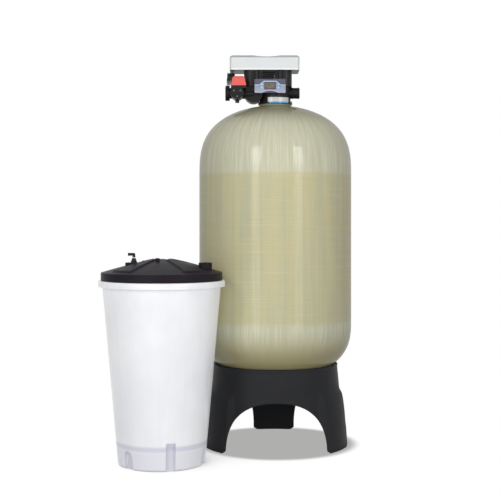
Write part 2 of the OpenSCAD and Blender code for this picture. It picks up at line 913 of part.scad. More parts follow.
// Gear outline: each tooth runs up one flank and down the other
function gear_outline(teeth, flank = 4) = let (
    pitch = gear_module * teeth / 2,
    low = pitch - dedendum,
    step = (addendum + dedendum) / flank)
    [for (i = [0:teeth - 1], s = [-1, 1], k = [0:flank]) let (
        r = low + step * (s < 0 ? k : flank - k),
        a = 360 * i / teeth + s * half_tooth(r, pitch, teeth))
        [r * cos(a), r * sin(a)]];

module drive_gear() {
    web = 4;
    rim = drive_r - dedendum - 1.5 * web;
    hub = spindle_d / 2 + 2 * web;
    color([0.93, 0.92, 0.88]) at_valve() difference() {
        translate([0, 0, gear_z]) linear_extrude(height = gear_t) polygon(gear_outline(drive_teeth));
        ring(rim, hub, gear_z + web, gear_top + past);
        translate([0, 0, gear_z - past]) cylinder(h = gear_t + 2 * past, r = spindle_d / 2 + fit_gap / 2);
    }
}

module motor_pinion() {
    color([0.90, 0.89, 0.85]) at_valve() translate([-centres, 0, gear_z]) difference() {
        rotate([0, 0, 180 / pinion_teeth]) linear_extrude(height = gear_t)
            polygon(gear_outline(pinion_teeth));
        translate([0, 0, -past]) cylinder(h = gear_t + 2 * past, r = motor_shaft_d / 2 + run_gap);
    }
}

module drive_motor() {
    gearbox_r = 30;
    gearbox_h = 20;
    can_r = 18;
    can_h = 34;
    color([0.55, 0.56, 0.58]) at_valve() translate([-centres, 0, housing_top]) {
        translate([0, 0, -gearbox_h]) cylinder(h = gearbox_h, r = gearbox_r);
        translate([0, 0, -gearbox_h - can_h]) cylinder(h = can_h, r = can_r);
        cylinder(h = gear_top - housing_top, r = motor_shaft_d / 2);
    }
}

// Gear housing, deck and cover

post_r = 9;
post_in_x = 6;
post_in_y = 10;
post_x = housing_w / 2 - housing_wall - post_r - post_in_x;
post_y = housing_d / 2 - housing_wall - post_r - post_in_y;
screw_r = 2.5;
screw_len = 12;
screw_room = 2;
deck_gap = 2;
pillar_x = [-112, 28];
vent_mid = -36;
vent_w = 83;

module gear_housing() {
    inside_round = housing_round - housing_wall;
    pillar_in = 2;
    hole_low = housing_top - screw_len - screw_room;
    vent_step = (housing_top - console_high - 2 * vent_h) / vent_n;
    color([0.10, 0.10, 0.11]) at_valve() difference() {
        union() {
            translate([-housing_x, 0, valve_top]) linear_extrude(height = housing_h) difference() {
                round_rect(housing_w, housing_d, housing_round);
                round_rect(housing_w - 2 * housing_wall, housing_d - 2 * housing_wall, inside_round);
            }
            translate([-housing_x, 0, valve_top]) linear_extrude(height = housing_wall) difference() {
                round_rect(housing_w - housing_wall, housing_d - housing_wall, inside_round);
                translate([housing_x, 0]) circle(r = cap_r + fit_gap);
            }
            for (x = [-1, 1], y = [-1, 1]) translate([x * post_x - housing_x, y * post_y, valve_top])
                cylinder(h = housing_h, r = post_r);
            for (x = pillar_x) intersection() {
                translate([x, pillar_in - housing_d / 2, console_high + fit_gap])
                    cylinder(h = housing_top - console_high - fit_gap, r = pillar_r);
                translate([x - pillar_r, -housing_d / 2 - pillar_r, 0])
                    cube([2 * pillar_r, pillar_r + 1.5 * pillar_in, housing_top]);
            }
        }
        for (i = [0:vent_n - 1])
            translate([vent_mid - vent_w / 2, -housing_d / 2 - past, console_high + vent_h + i * vent_step])
                cube([vent_w, housing_wall + 2 * past, vent_h]);
        for (x = [-1, 1], y = [-1, 1]) translate([x * post_x - housing_x, y * post_y, hole_low])
            cylinder(h = screw_len + screw_room + past, r = screw_r + fit_gap);
    }
}

module gear_deck() {
    edge = 2 * (cover_wall + fit_gap);
    shaft_hole = motor_shaft_d / 2 + deck_gap;
    color([0.13, 0.13, 0.14]) at_valve() difference() {
        translate([-cover_x, 0, housing_top]) linear_extrude(height = deck_t)
            round_rect(cover_w - edge, cover_d - edge, cover_round - cover_wall);
        translate([0, 0, housing_top - past]) cylinder(h = deck_t + 2 * past, r = spindle_d / 2 + deck_gap);
        translate([-centres, 0, housing_top - past]) cylinder(h = deck_t + 2 * past, r = shaft_hole);
        for (x = [-1, 1], y = [-1, 1]) translate([x * post_x - housing_x, y * post_y, housing_top - past])
            cylinder(h = deck_t + 2 * past, r = screw_r + fit_gap);
    }
}

module deck_screws() {
    head_t = 3;
    color([0.70, 0.71, 0.73]) at_valve() for (x = [-1, 1], y = [-1, 1])
        translate([x * post_x - housing_x, y * post_y, 0]) {
            translate([0, 0, housing_top - screw_len]) cylinder(h = screw_len + deck_t + past, r = screw_r);
            translate([0, 0, deck_top]) cylinder(h = head_t, r = 2 * screw_r);
        }
}

// Block with round upright corners and a bevel round its top, drawn in by an inset
module cover_block(inset, low) {
    w = cover_w - 2 * inset;
    d = cover_d - 2 * inset;
    top = cover_top - inset;
    bevel_low = top - 0.7 * cover_bevel;
    side = function (size) [[-size / 2, low], [size / 2, low], [size / 2, bevel_low],
        [size / 2 - cover_bevel, top], [cover_bevel - size / 2, top], [-size / 2, bevel_low]];
    intersection() {
        translate([-cover_x, 0, low]) linear_extrude(height = top - low)
            round_rect(w, d, cover_round - inset);
        translate([-cover_x, d, 0]) rotate([90, 0, 0]) linear_extrude(height = 2 * d) polygon(side(w));
        translate([-cover_x - w, 0, 0]) rotate([90, 0, 90]) linear_extrude(height = 2 * w) polygon(side(d));
    }
}

module dust_cover() {
    dip_r = (dip_w * dip_w / 4 + dip_depth * dip_depth) / (2 * dip_depth);
    dip_shift = 13.5;
    dip_x = cover_x - dip_shift;
    dip_z = cover_top + dip_r - dip_depth;
    color([0.86, 0.87, 0.89]) at_valve() difference() {
        cover_block(0, housing_top);
        difference() {
            cover_block(cover_wall, housing_top - past);
            translate([-dip_x, 0, dip_z]) bar_y(-cover_d, cover_d, dip_r + cover_wall);
        }
        translate([-dip_x, 0, dip_z]) bar_y(-cover_d, cover_d, dip_r);
    }
}

// Display console

module console_plate(w, h, r, front, t) {
    translate([-console_x, -front, console_z]) rotate([-90, 0, 0]) linear_extrude(height = t)
        round_rect(w, h, r);
}

// Places of the buttons: left column, then right column, upper row first
function button_at(i) = [-console_x + (i < 2 ? -1 : 1) * button_span / 2,
    console_z + (i % 2 == 0 ? 1 : -1) * button_rise / 2];

module display_housing() {
    inner = 2 * console_wall;
    stud_r = 4;
    stud_in_x = 14;
    stud_in_z = 12;
    stud_x = console_w / 2 - stud_in_x;
    stud_z = console_h / 2 - stud_in_z;
    front = console_front - fit_gap / 2;
    color([0.30, 0.32, 0.40]) at_valve() {
        difference() {
            console_plate(console_w, console_h, console_round, front, console_d - fit_gap);
            console_plate(console_w - inner, console_h - inner, console_round - console_wall,
                console_front + past, console_d - console_wall + past);
        }
        for (x = [-1, 1], z = [-1, 1]) translate([x * stud_x - console_x, 0, z * stud_z + console_z])
            bar_y(-board_y + board_t, -console_front + console_d - console_wall, stud_r);
    }
}

module fascia() {
    color([0.62, 0.64, 0.80]) at_valve() difference() {
        console_plate(console_w, console_h, console_round, console_front + fascia_t, fascia_t);
        translate([-console_x - window_w / 2, -console_front - fascia_t - past, console_z - window_h / 2])
            cube([window_w, fascia_t + 2 * past, window_h]);
        for (i = [0:3]) translate([button_at(i)[0], 0, button_at(i)[1]])
            bar_y(-console_front - fascia_t - past, -console_front + past, button_d / 2 + fit_gap);
    }
}

module display_lens() {
    w = window_w - 2 * fit_gap;
    h = window_h - 2 * fit_gap;
    color([0.42, 0.36, 0.30]) at_valve()
        translate([-console_x - w / 2, -console_front - fascia_t + fit_gap, console_z - h / 2])
            cube([w, fascia_t, h]);
}

module circuit_board() {
    w = console_w - 2 * (console_wall + board_margin);
    h = console_h - 2 * (console_wall + board_margin);
    glass = 3;
    color([0.10, 0.35, 0.18]) at_valve() {
        translate([-console_x - w / 2, -board_y, console_z - h / 2]) cube([w, board_t, h]);
        translate([-console_x - window_w / 2, -board_y - glass, console_z - window_h / 2])
            cube([window_w, glass + past, window_h]);
    }
}

module button(i) {
    stem = console_front - board_y - button_travel - fit_gap;
    color([0.50, 0.72, 0.90]) at_valve() translate([button_at(i)[0], 0, button_at(i)[1]]) {
        bar_y(-console_front - fascia_t - key_proud, -console_front + stem, button_d / 2);
        bar_y(-console_front + fit_gap, -console_front + fit_gap + key_flange, button_d / 2 + key_edge);
    }
}

module button_1() {
    button(0);
}

module button_2() {
    button(1);
}

module button_3() {
    button(2);
}

module button_4() {
    button(3);
}

// Brine valve

module brine_axis() {
    at_valve() translate([-brine_valve_x, 0, brine_valve_z]) children();
}

module brine_valve_body() {
    color([0.10, 0.10, 0.11]) brine_axis() difference() {
        union() {
            bar_y(-brine_valve_front, -brine_valve_back, brine_valve_r);
            translate([0, -boss_y, 0]) bar_x(0, brine_valve_x - brine_seat_x - fit_gap, boss_r);
        }
        bar_y(-brine_valve_front - past, -stem_y + ball_d / 2 + seat_len, seat_bore_d / 2);
        translate([0, -stem_y, 0]) cylinder(h = brine_valve_r + past, r = stem_d / 2 + run_gap);
    }
}

module brine_valve_flange() {
    lobe_r = 7;
    lobe_ring = brine_valve_r - 1.7 * lobe_r;
    plug_r = 14;
    color([0.12, 0.12, 0.13]) brine_axis() difference() {
        union() {
            bar_y(-brine_valve_front - flange_t - fit_gap, -brine_valve_front - fit_gap, brine_valve_r);
            bar_y(-brine_valve_front - 2 * flange_t, -brine_valve_front - flange_t, plug_r);
        }
        for (turn = [30, 150, 270]) rotate([0, turn, 0]) translate([lobe_ring, 0, 0])
            bar_y(-brine_valve_front - flange_t - past, -brine_valve_front - flange_t / 2, lobe_r);
    }
}

module ball_seats() {
    seat_gap = 2;
    back = -stem_y + ball_d / 2 + seat_len;
    front = -brine_valve_front;
    color([0.95, 0.95, 0.93]) brine_axis() difference() {
        union() {
            bar_y(front, -stem_y - stem_d / 2 - seat_gap, seat_bore_d / 2 - fit_gap);
            bar_y(-stem_y + stem_d / 2 + seat_gap, back, seat_bore_d / 2 - fit_gap);
        }
        translate([0, -stem_y, 0]) sphere(r = ball_d / 2 + fit_gap);
        bar_y(front - past, back + past, ball_bore / 2);
    }
}

module brine_ball() {
    color([0.80, 0.81, 0.83]) brine_axis() translate([0, -stem_y, 0]) rotate([90, 0, 0]) rotate_extrude()
        difference() {
            circle(r = ball_d / 2);
            translate([-ball_d, -ball_d]) square([ball_d + ball_bore / 2, 2 * ball_d]);
        }
}

module ball_stem() {
    into_actuator = 14;
    color([0.70, 0.71, 0.73]) brine_axis() translate([0, -stem_y, 0]) difference() {
        cylinder(h = actuator_seat - brine_valve_z + into_actuator, r = stem_d / 2);
        sphere(r = ball_d / 2 + fit_gap / 2);
    }
}

module hose_nipple() {
    nipple_h = 14;
    nipple_wall = 7;
    nipple_r = hose_bore / 2 + nipple_wall;
    low = brine_valve_z - brine_valve_r - nipple_h;
    nipple_y = 70;
    color([0.14, 0.14, 0.15]) at_valve() difference() {
        translate([-brine_valve_x, -nipple_y, low]) cylinder(h = 2 * nipple_h, r = nipple_r);
        translate([-brine_valve_x, 0, brine_valve_z])
            bar_y(-brine_valve_front, -brine_valve_back + past, brine_valve_r + fit_gap / 2);
        translate([-brine_valve_x, -nipple_y, low - past]) cylinder(h = 3 * nipple_h, r = hose_bore / 2);
    }
}

module actuator_base() {
    corner = 6;
    color([0.11, 0.11, 0.12]) at_valve() difference() {
        translate([-actuator_x, -actuator_mid_y, actuator_foot])
            linear_extrude(height = actuator_base_h) round_rect(actuator_w, actuator_d, corner);
        translate([-brine_valve_x, 0, brine_valve_z])
            bar_y(-brine_valve_front - 2 * flange_t, -brine_valve_back, brine_valve_r + fit_gap / 2);
        translate([-brine_valve_x, -stem_y, actuator_foot]) cylinder(h = tank_r, r = stem_d / 2 + fit_gap);
    }
}

// Tapered hood with cut top corners and an upright back, drawn in by an inset
module actuator_block(inset, low) {
    w = actuator_w / 2 - inset;
    front = actuator_back + actuator_d - inset;
    back = actuator_back + inset;
    top = actuator_seat + actuator_h - inset;
    cut = 10;
    intersection() {
        translate([-actuator_x, 0, 0]) rotate([90, 0, 0]) linear_extrude(height = 2 * tank_r)
            polygon([[-w, low], [w, low], [w - actuator_taper, top - cut], [w - actuator_taper - cut, top],
                [actuator_taper + cut - w, top], [actuator_taper - w, top - cut]]);
        translate([-actuator_x - actuator_w, 0, 0]) rotate([90, 0, 90])
            linear_extrude(height = 2 * actuator_w) polygon([[-front, low], [-back, low],
                [-back, top - cut], [-back - cut, top],
                [actuator_taper + cut - front, top], [actuator_taper - front, top - cut]]);
    }
}

module actuator_cover() {
    hood_wall = 3;
    color([0.86, 0.28, 0.26]) at_valve() difference() {
        actuator_block(0, actuator_seat + fit_gap);
        actuator_block(hood_wall, actuator_seat - past);
    }
}

module cable_gland() {
    gland_wall = 2;
    color([0.08, 0.08, 0.08]) at_valve() translate([-gland_x, 0, gland_z]) {
        bar_y(-actuator_back + fit_gap / 2, -actuator_back + gland_len / 2, gland_r);
        bar_y(-actuator_back + fit_gap / 2, -actuator_back + gland_len, cable_r + gland_wall);
    }
}

// Actuator cable: straight out of the gland, round the coil, then up through the gear deck

coil_end = 0.25;
coil_turns = coil_loops + coil_end;
coil_path = [for (i = [0:coil_rings * coil_turns]) let (s = i / coil_rings, t = 360 * s - 90)
    [coil_x - coil_pitch * s, coil_y + coil_reach * cos(t), coil_z + coil_rise * sin(t)]];
cable_path = concat(cable_in, coil_path, cable_out);

function unit(v) = v / norm(v);
function heading(p, i) = unit(p[min(i + 1, len(p) - 1)] - p[max(i - 1, 0)]);
// Sideways directions carried along the route without twist
function carried(n, h) = unit(n - (n * h) * h);
function frames(p, i, n) = i == len(p) ? [] :
    let (h = heading(p, i), m = carried(n, h)) concat([[m, cross(h, m)]], frames(p, i + 1, m));

// Tube of round section along a list of points
module tube(p, r, sides) {
    f = frames(p, 0, [1, 0, 0]);
    points = [for (i = [0:len(p) - 1], k = [0:sides - 1]) let (a = 360 * k / sides)
        p[i] + r * (cos(a) * f[i][0] + sin(a) * f[i][1])];
    last = (len(p) - 1) * sides;
    wall = [for (i = [0:len(p) - 2], k = [0:sides - 1])
        let (a = i * sides + k, b = i * sides + (k + 1) % sides)
        each [[a, a + sides, b], [b, a + sides, b + sides]]];
    caps = [for (k = [1:sides - 2]) each [[0, k, k + 1], [last, last + k + 1, last + k]]];
    polyhedron(points, concat(wall, caps));
}

// Least free gap between stretches of the cable that lie at least half a loop apart along it
cable_last = len(cable_path) - 1;
coil_gap = min([for (i = [0:cable_last - coil_rings / 2], k = [i + coil_rings / 2:cable_last])
    norm(cable_path[i] - cable_path[k])]) - cable_d;

module actuator_cable() {
    echo(least_gap_of_cable_mm = coil_gap);
    color([0.05, 0.05, 0.06]) at_valve() tube(cable_path, cable_r, cable_sides);
}

module cable_tie() {
    band_h = 4;
    band_t = 1.2;
    slack = cable_r + fit_gap;
    left = coil_x - coil_pitch * (coil_loops - coil_end);
    right = coil_x - coil_pitch * (1 - coil_end);
    mid = (left + right) / 2;
    color([0.08, 0.08, 0.08]) at_valve() translate([mid, coil_y - coil_reach, coil_z - band_h / 2])
        linear_extrude(height = band_h) difference() {
            round_rect(right - left + 2 * (slack + band_t), 2 * (slack + band_t), slack + band_t - past);
            round_rect(right - left + 2 * slack, 2 * slack, slack - past);
        }
}

// Brine tank

function brine_outline() = [[0, 0], [brine_foot_r - foot_round, 0],
    [brine_r(foot_round) - foot_bevel, foot_bevel], [brine_r(foot_round), foot_round],
    [brine_top_r, brine_neck], [brine_top_r, brine_h], [0, brine_h]];

// A recess in the foot, as a prism that runs outwards from the axis
module niche(turn, w, h, arched, grow, from) {
    half = w / 2 + grow;
    rotate([0, 0, turn]) translate([0, -from, 0]) rotate([90, 0, 0]) linear_extrude(height = brine_rim_r)
        if (arched) {
            translate([-half, -past]) square([2 * half, h - w / 2 + past]);
            translate([0, h - w / 2]) circle(r = half);
        } else {
            translate([-half, -past]) square([2 * half, h + grow + past]);
        }
}

niche_turn = -44;
slot_turn = 16;

module niches(grow, from) {
    for (turn = [0, 120, 240]) {
        niche(niche_turn + turn, niche_w, niche_h, true, grow, from);
        niche(slot_turn + turn, slot_w, slot_h, false, grow, from);
    }
}

module brine_tank() {
    band = 5;
    color([0.90, 0.91, 0.93]) at_brine() difference() {
        union() {
            difference() {
                rotate_extrude() polygon(brine_outline());
                rotate_extrude() polygon([[0, brine_wall], [brine_foot_r - foot_round, brine_wall],
                    [brine_r(foot_round) - brine_wall, foot_round + brine_wall / 2],
                    [mouth_r, brine_neck], [mouth_r, brine_h + past], [0, brine_h + past]]);
            }
            rotate_extrude() polygon([[mouth_r, brine_h - brine_wall], [mouth_r, brine_h],
                [brine_rim_r - band, brine_h], [brine_rim_r, brine_h - band], [brine_rim_r, brine_neck],
                [brine_rim_r - brine_wall, brine_neck], [brine_rim_r - brine_wall, brine_h - brine_wall]]);
            intersection() {
                rotate_extrude() polygon(brine_outline());
                niches(brine_wall, niche_flat - brine_wall);
            }
        }
        niches(0, niche_flat);
    }
}

module well_place() {
    at_brine() translate([well_x, -fitting_y, 0]) children();
}

module salt_grid() {
    edge = 4;
    hole_r = 6;
    hole_step = 32;
    reach = 6;
    low_r = brine_r(grid_z) - brine_wall - 1.5 * fit_gap;
    high_r = brine_r(grid_z + grid_h) - brine_wall - 1.5 * fit_gap;
    color([0.70, 0.72, 0.88]) difference() {
        at_brine() difference() {
            rotate_extrude() polygon([[0, grid_z], [low_r, grid_z], [high_r, grid_z + grid_h],
                [high_r - edge, grid_z + grid_h], [low_r - edge, grid_z + grid_t], [0, grid_z + grid_t]]);
            for (turn = [0, 120, 240]) niche(slot_turn + turn, slot_w, slot_h, false, brine_wall + fit_gap,
                niche_flat - brine_wall - fit_gap);
            for (i = [-reach:reach], k = [-reach:reach])
                if (norm([i, k]) * hole_step < niche_flat - 2 * hole_step
                    && norm([i * hole_step - well_x, k * hole_step + fitting_y]) > well_r + hole_step / 2)
                    translate([i * hole_step, k * hole_step, grid_z - past])
                        cylinder(h = grid_t + 2 * past, r = hole_r);
        }
        well_place() cylinder(h = brine_h, r = well_r + fit_gap);
    }
}

module brine_well() {
    slots = 8;
    slot_t = 4;
    slot_len = 60;
    color([0.93, 0.93, 0.92]) well_place() difference() {
        ring(well_r, well_r - well_wall, well_foot, well_top);
        for (i = [0:slots - 1]) rotate([0, 0, 360 * (i + 0.5) / slots])
            translate([0, -slot_t / 2, well_foot + slot_t]) cube([well_d, slot_t, slot_len]);
    }
}

module well_cap() {
    cap_t = 4;
    cap_skirt = 20;
    tube_gap = 2;
    color([0.90, 0.90, 0.89]) difference() {
        well_place() {
            ring(well_r + well_wall, well_r + fit_gap, well_top - cap_skirt, well_top + fit_gap + cap_t);
            translate([0, 0, well_top + fit_gap]) cylinder(h = cap_t, r = well_r + well_wall);
        }
        at_brine() translate([-fitting_x, -fitting_y, well_top])
            cylinder(h = brine_h, r = tube_r + tube_gap);
    }
}

// Lid and brine fitting

function lid_outline(inset) = [for (i = [0:lid_steps]) let (r = (lid_r - inset) * (1 - i / lid_steps))
    [r, lid_shoulder - inset + lid_z(r * lid_r / (lid_r - inset))]];

module lid_fill(inset, low) {
    rotate_extrude() polygon(concat([[0, low], [lid_r - inset, low]], lid_outline(inset)));
}

module lid() {
    nub_r = 12;
    nub_x = -18;
    nub_y = -70;
    hub_r = 58;
    rim_in = 26;
    wedge_end = lid_r - rim_in;
    second_r = 11;
    second_apart = 56;
    second_x = fitting_x - second_apart;
    wedge_line = [for (p = lid_outline(0)) if (p[0] <= wedge_end && p[0] >= hub_r)
        [p[0], p[1] + wedge_t]];
    pad_h = pad_top - lid_shoulder;
    plug_out = mouth_r - 3 * fit_gap;
    seat = lid_foot - past;
    color([0.22, 0.21, 0.25]) difference() {
        at_brine() union() {
            difference() {
                union() {
                    lid_fill(0, lid_foot);
                    for (turn = [-wedge_turn, wedge_turn, 180 - wedge_turn, 180 + wedge_turn])
                        rotate([0, 0, turn - 90 - wedge_angle / 2]) rotate_extrude(angle = wedge_angle)
                            polygon(concat(wedge_line, [[hub_r, lid_shoulder], [wedge_end, lid_shoulder]]));
                    translate([-fitting_x, -fitting_y, lid_shoulder]) cylinder(h = pad_h, r = pad_d / 2);
                    translate([lug_x, -fitting_y, lid_shoulder]) cylinder(h = lug_rise, r = lug_d / 2);
                    translate([-second_x, -fitting_y, lid_shoulder])
                        cylinder(h = pad_h + second_r, r = second_r);
                    translate([nub_x, nub_y, lid_shoulder]) cylinder(h = lid_rise + nub_r / 2, r = nub_r);
                }
                lid_fill(lid_wall, seat);
            }
            ring(plug_out, plug_out - lid_wall, lid_foot - plug_depth, lid_foot + lid_wall);
            ring(lid_r, plug_out - lid_wall, lid_foot, lid_foot + lid_wall);
        }
        at_brine() translate([-fitting_x, -fitting_y, lid_foot]) cylinder(h = brine_h, r = tube_r + fit_gap);
    }
}

module at_fitting() {
    at_brine() translate([-fitting_x, -fitting_y, 0]) children();
}

module lid_gland() {
    foot_r = 15;
    tip_r = 10;
    hex_h = 8;
    hex_edge = 2;
    color([0.09, 0.09, 0.10]) at_fitting() difference() {
        translate([0, 0, pad_top + fit_gap / 2]) union() {
            cylinder(h = hex_h, r = foot_r + hex_edge, $fn = 6);
            translate([0, 0, hex_h]) cylinder(h = gland_h - hex_h, r1 = foot_r, r2 = tip_r);
        }
        translate([0, 0, pad_top - past]) cylinder(h = gland_h + 3 * past, r = tube_r + fit_gap / 2);
    }
}

module pickup_tube() {
    collet_edge = 2.2;
    collet_low = elbow_foot - collet_h + fit_gap;
    low = check_foot + check_h - tube_into;
    color([0.94, 0.94, 0.93]) at_fitting() difference() {
        union() {
            translate([0, 0, low]) cylinder(h = elbow_foot + elbow_depth - past - low, r = tube_r);
            translate([0, 0, collet_low]) cylinder(h = collet_h - 2 * fit_gap, r = tube_r + collet_edge);
        }
        translate([0, 0, check_foot])
            cylinder(h = elbow_foot + elbow_depth - check_foot, r = tube_r - tube_wall);
    }
}

module lid_elbow() {
    bend = elbow_leg - elbow_r / 2;
    collar = elbow_r + 1.2;
    axis_z = elbow_foot + elbow_leg;
    color([0.07, 0.07, 0.08]) at_fitting() difference() {
        union() {
            translate([0, 0, elbow_foot]) cylinder(h = elbow_leg, r = elbow_r);
            translate([0, 0, axis_z]) sphere(r = elbow_r);
            translate([0, 0, axis_z]) bar_x(-elbow_arm, 0, elbow_r);
            translate([0, 0, axis_z]) bar_x(-elbow_arm, -elbow_arm + bend / 2, collar);
            translate([0, 0, elbow_foot]) cylinder(h = bend / 2, r = collar);
        }
        translate([0, 0, elbow_foot - past]) cylinder(h = elbow_depth + past, r = hose_bore / 2);
        translate([0, 0, axis_z]) bar_x(-elbow_arm - past, -elbow_arm + 2 * elbow_depth, hose_bore / 2);
    }
}

module safety_valve() {
    guide_r = 9;
    color([0.86, 0.87, 0.90]) at_brine() difference() {
        union() {
            translate([-fitting_x, -fitting_y, check_foot]) cylinder(h = check_h, r = check_r);
            translate([rod_x, -fitting_y, check_foot]) cylinder(h = guide_h, r = guide_r);
            translate([-fitting_x, -fitting_y - guide_r / 2, check_foot])
                cube([rod_x + fitting_x, guide_r, guide_h]);
        }
        translate([-fitting_x, -fitting_y, check_foot + check_h - tube_into - fit_gap])
            cylinder(h = check_h, r = tube_r + fit_gap / 2);
        translate([rod_x, -fitting_y, check_foot - past])
            cylinder(h = guide_h + 2 * past, r = float_rod_d / 2 + run_gap);
    }
}

// The rod stands on its clip, which rests on the safety valve's guide
module float_rod() {
    clip_r = 7;
    clip_t = 4;
    below_guide = 8;
    color([0.75, 0.76, 0.78]) at_brine() translate([rod_x, -fitting_y, 0]) {
        translate([0, 0, check_foot - below_guide]) cylinder(h = float_rod_len, r = float_rod_d / 2);
        translate([0, 0, clip_z]) cylinder(h = clip_t, r = clip_r);
        translate([0, 0, clip_z + float_rod_len / 2 - clip_t]) cylinder(h = clip_t, r = clip_r);
    }
}

module float() {
    low = clip_z + float_rod_len / 2 + fit_gap;
    color([0.88, 0.50, 0.20]) at_brine() translate([rod_x, -fitting_y, low]) difference() {
        cylinder(h = float_h, r = float_d / 2);
        translate([0, 0, -past]) cylinder(h = float_h + 2 * past, r = float_rod_d / 2 + fit_gap / 2);
    }
}

tank_shell();
tank_liner();
neck_insert();
tank_base();
gravel_bed();
resin_bed();
riser_tube();
distributor_hub();
distributor_laterals();
upper_distributor();
neck_adapter();
neck_oring();
clamp_bolts();
valve_body();
inlet_port();
inlet_union_nut();
outlet_port();
drain_port();
disc_seal();
fixed_disc();
moving_disc();
spindle();
valve_cap();
gear_housing();
gear_deck();
deck_screws();
drive_motor();
motor_pinion();
drive_gear();
dust_cover();
display_housing();
fascia();
display_lens();
circuit_board();
button_1();
button_2();
button_3();
button_4();
brine_valve_body();
brine_valve_flange();
ball_seats();
brine_ball();
ball_stem();
hose_nipple();
actuator_base();
actuator_cover();
cable_gland();
actuator_cable();
cable_tie();
brine_tank();
salt_grid();
brine_well();
well_cap();
lid();
lid_gland();
pickup_tube();
lid_elbow();
safety_valve();
float_rod();
float();
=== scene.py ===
"""Looks of a water softener: a wound pressure tank on a tripod base with its control valve, and a
brine tank.

Metres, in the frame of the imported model: origin on the floor, +Z up, the display faces -Y.
"""

import json
import math

import bmesh
import bpy
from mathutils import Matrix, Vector


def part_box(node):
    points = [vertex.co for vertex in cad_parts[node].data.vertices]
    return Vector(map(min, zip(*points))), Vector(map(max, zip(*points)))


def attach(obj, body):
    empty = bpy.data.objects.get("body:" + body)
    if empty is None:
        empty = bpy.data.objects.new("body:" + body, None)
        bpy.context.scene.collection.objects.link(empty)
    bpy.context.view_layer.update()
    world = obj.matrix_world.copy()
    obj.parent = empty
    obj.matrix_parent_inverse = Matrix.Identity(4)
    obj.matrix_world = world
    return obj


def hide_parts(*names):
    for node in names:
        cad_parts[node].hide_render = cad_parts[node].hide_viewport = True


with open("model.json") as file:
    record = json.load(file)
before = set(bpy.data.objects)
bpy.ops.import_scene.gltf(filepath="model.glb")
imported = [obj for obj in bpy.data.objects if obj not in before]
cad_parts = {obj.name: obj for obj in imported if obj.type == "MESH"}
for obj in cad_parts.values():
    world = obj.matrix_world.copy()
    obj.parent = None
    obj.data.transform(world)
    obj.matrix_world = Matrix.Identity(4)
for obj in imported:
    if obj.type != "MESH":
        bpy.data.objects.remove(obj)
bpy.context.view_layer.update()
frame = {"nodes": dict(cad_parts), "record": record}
nodes = frame["nodes"]
MM = 0.001

# Places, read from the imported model

tank_low, tank_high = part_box("tank_shell")
TANK_X = (tank_low.x + tank_high.x) / 2
TANK_Y = (tank_low.y + tank_high.y) / 2
TANK_R = (tank_high.x - tank_low.x) / 2
NECK_TOP = tank_high.z
brine_low, brine_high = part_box("brine_tank")
BRINE_X = (brine_low.x + brine_high.x) / 2
BRINE_Y = (brine_low.y + brine_high.y) / 2


def at_valve(x, y, z):
    """A point of the valve in millimetres from the tank's axis and the neck's top, in the model's
    frame."""
    return Vector((TANK_X + x * MM, TANK_Y + y * MM, NECK_TOP + z * MM))


def clamp(value, low=0.0, high=1.0):
    return max(low, min(high, value))


def smooth(low, high, value):
    """0 below low, 1 above high, and an S-curve between them."""
    t = clamp((value - low) / (high - low))
    return t * t * (3 - 2 * t)


def between(table, place):
    """Value at a place in a table of (place, value) rows, straight between the rows."""
    for (p0, v0), (p1, v1) in zip(table, table[1:]):
        if place <= p1:
            return v0 + (v1 - v0) * clamp((place - p0) / (p1 - p0))
    return table[-1][1]


def angle_off(angle, turn):
    """Angle from a heading, in degrees from the front, to an angle, in radians from -pi to pi."""
    return (angle - math.radians(turn - 90) + math.pi) % (2 * math.pi) - math.pi


# Camera, at the photograph's viewing angle

CAMERA_PLACE = (0.115, -6.288, 1.339)
CAMERA_LENS = 77.5
CAMERA_SHIFT_Y = -0.0584

camera = bpy.data.objects.new("camera", bpy.data.cameras.new("camera"))
bpy.context.scene.collection.objects.link(camera)
camera.location = CAMERA_PLACE
camera.rotation_euler = (math.radians(90), 0, 0)
camera.data.lens = CAMERA_LENS
camera.data.shift_y = CAMERA_SHIFT_Y
bpy.context.scene.camera = camera
bpy.context.scene.view_settings.view_transform = "Standard"


# Shader maths

BLACK = (0.0, 0.0, 0.0, 1.0)
WHITE = (1.0, 1.0, 1.0, 1.0)


def paint(red, green, blue):
    """A colour as it looks on a screen, 0 to 255, as the linear colour that a shader takes."""
    def linear(c):
        c /= 255
        return c / 12.92 if c <= 0.04045 else ((c + 0.055) / 1.055) ** 2.4
    return linear(red), linear(green), linear(blue), 1.0


def dimmed(colour, share):
    """The colour with its three parts multiplied by a share."""
    return tuple(c * share for c in colour[:3]) + (1.0,)


class Field:
    """A value that changes over a surface; arithmetic on it adds Math nodes."""

    def __init__(self, finish, socket):
        self.finish, self.socket = finish, socket

    def math(self, operation, *terms):
        return self.finish.add("ShaderNodeMath", {"operation": operation}, dict(enumerate(terms)))

    def __add__(self, other):
        return self.math("ADD", self, other)

    def __radd__(self, other):
        return self.math("ADD", other, self)

    def __sub__(self, other):
        return self.math("SUBTRACT", self, other)

    def __rsub__(self, other):
        return self.math("SUBTRACT", other, self)

    def __mul__(self, other):
        return self.math("MULTIPLY", self, other)

    def __rmul__(self, other):
        return self.math("MULTIPLY", other, self)

    def __truediv__(self, other):
        return self.math("DIVIDE", self, other)

    def __pow__(self, other):
        return self.math("POWER", self, other)

    def __abs__(self):
        return self.math("ABSOLUTE", self)

    def wrap(self, step):
        """The remainder of the value on a step, from 0 to step."""
        return self.math("FLOORED_MODULO", self, step)

    def least(self, other):
        return self.math("MINIMUM", self, other)

    def most(self, other):
        return self.math("MAXIMUM", self, other)


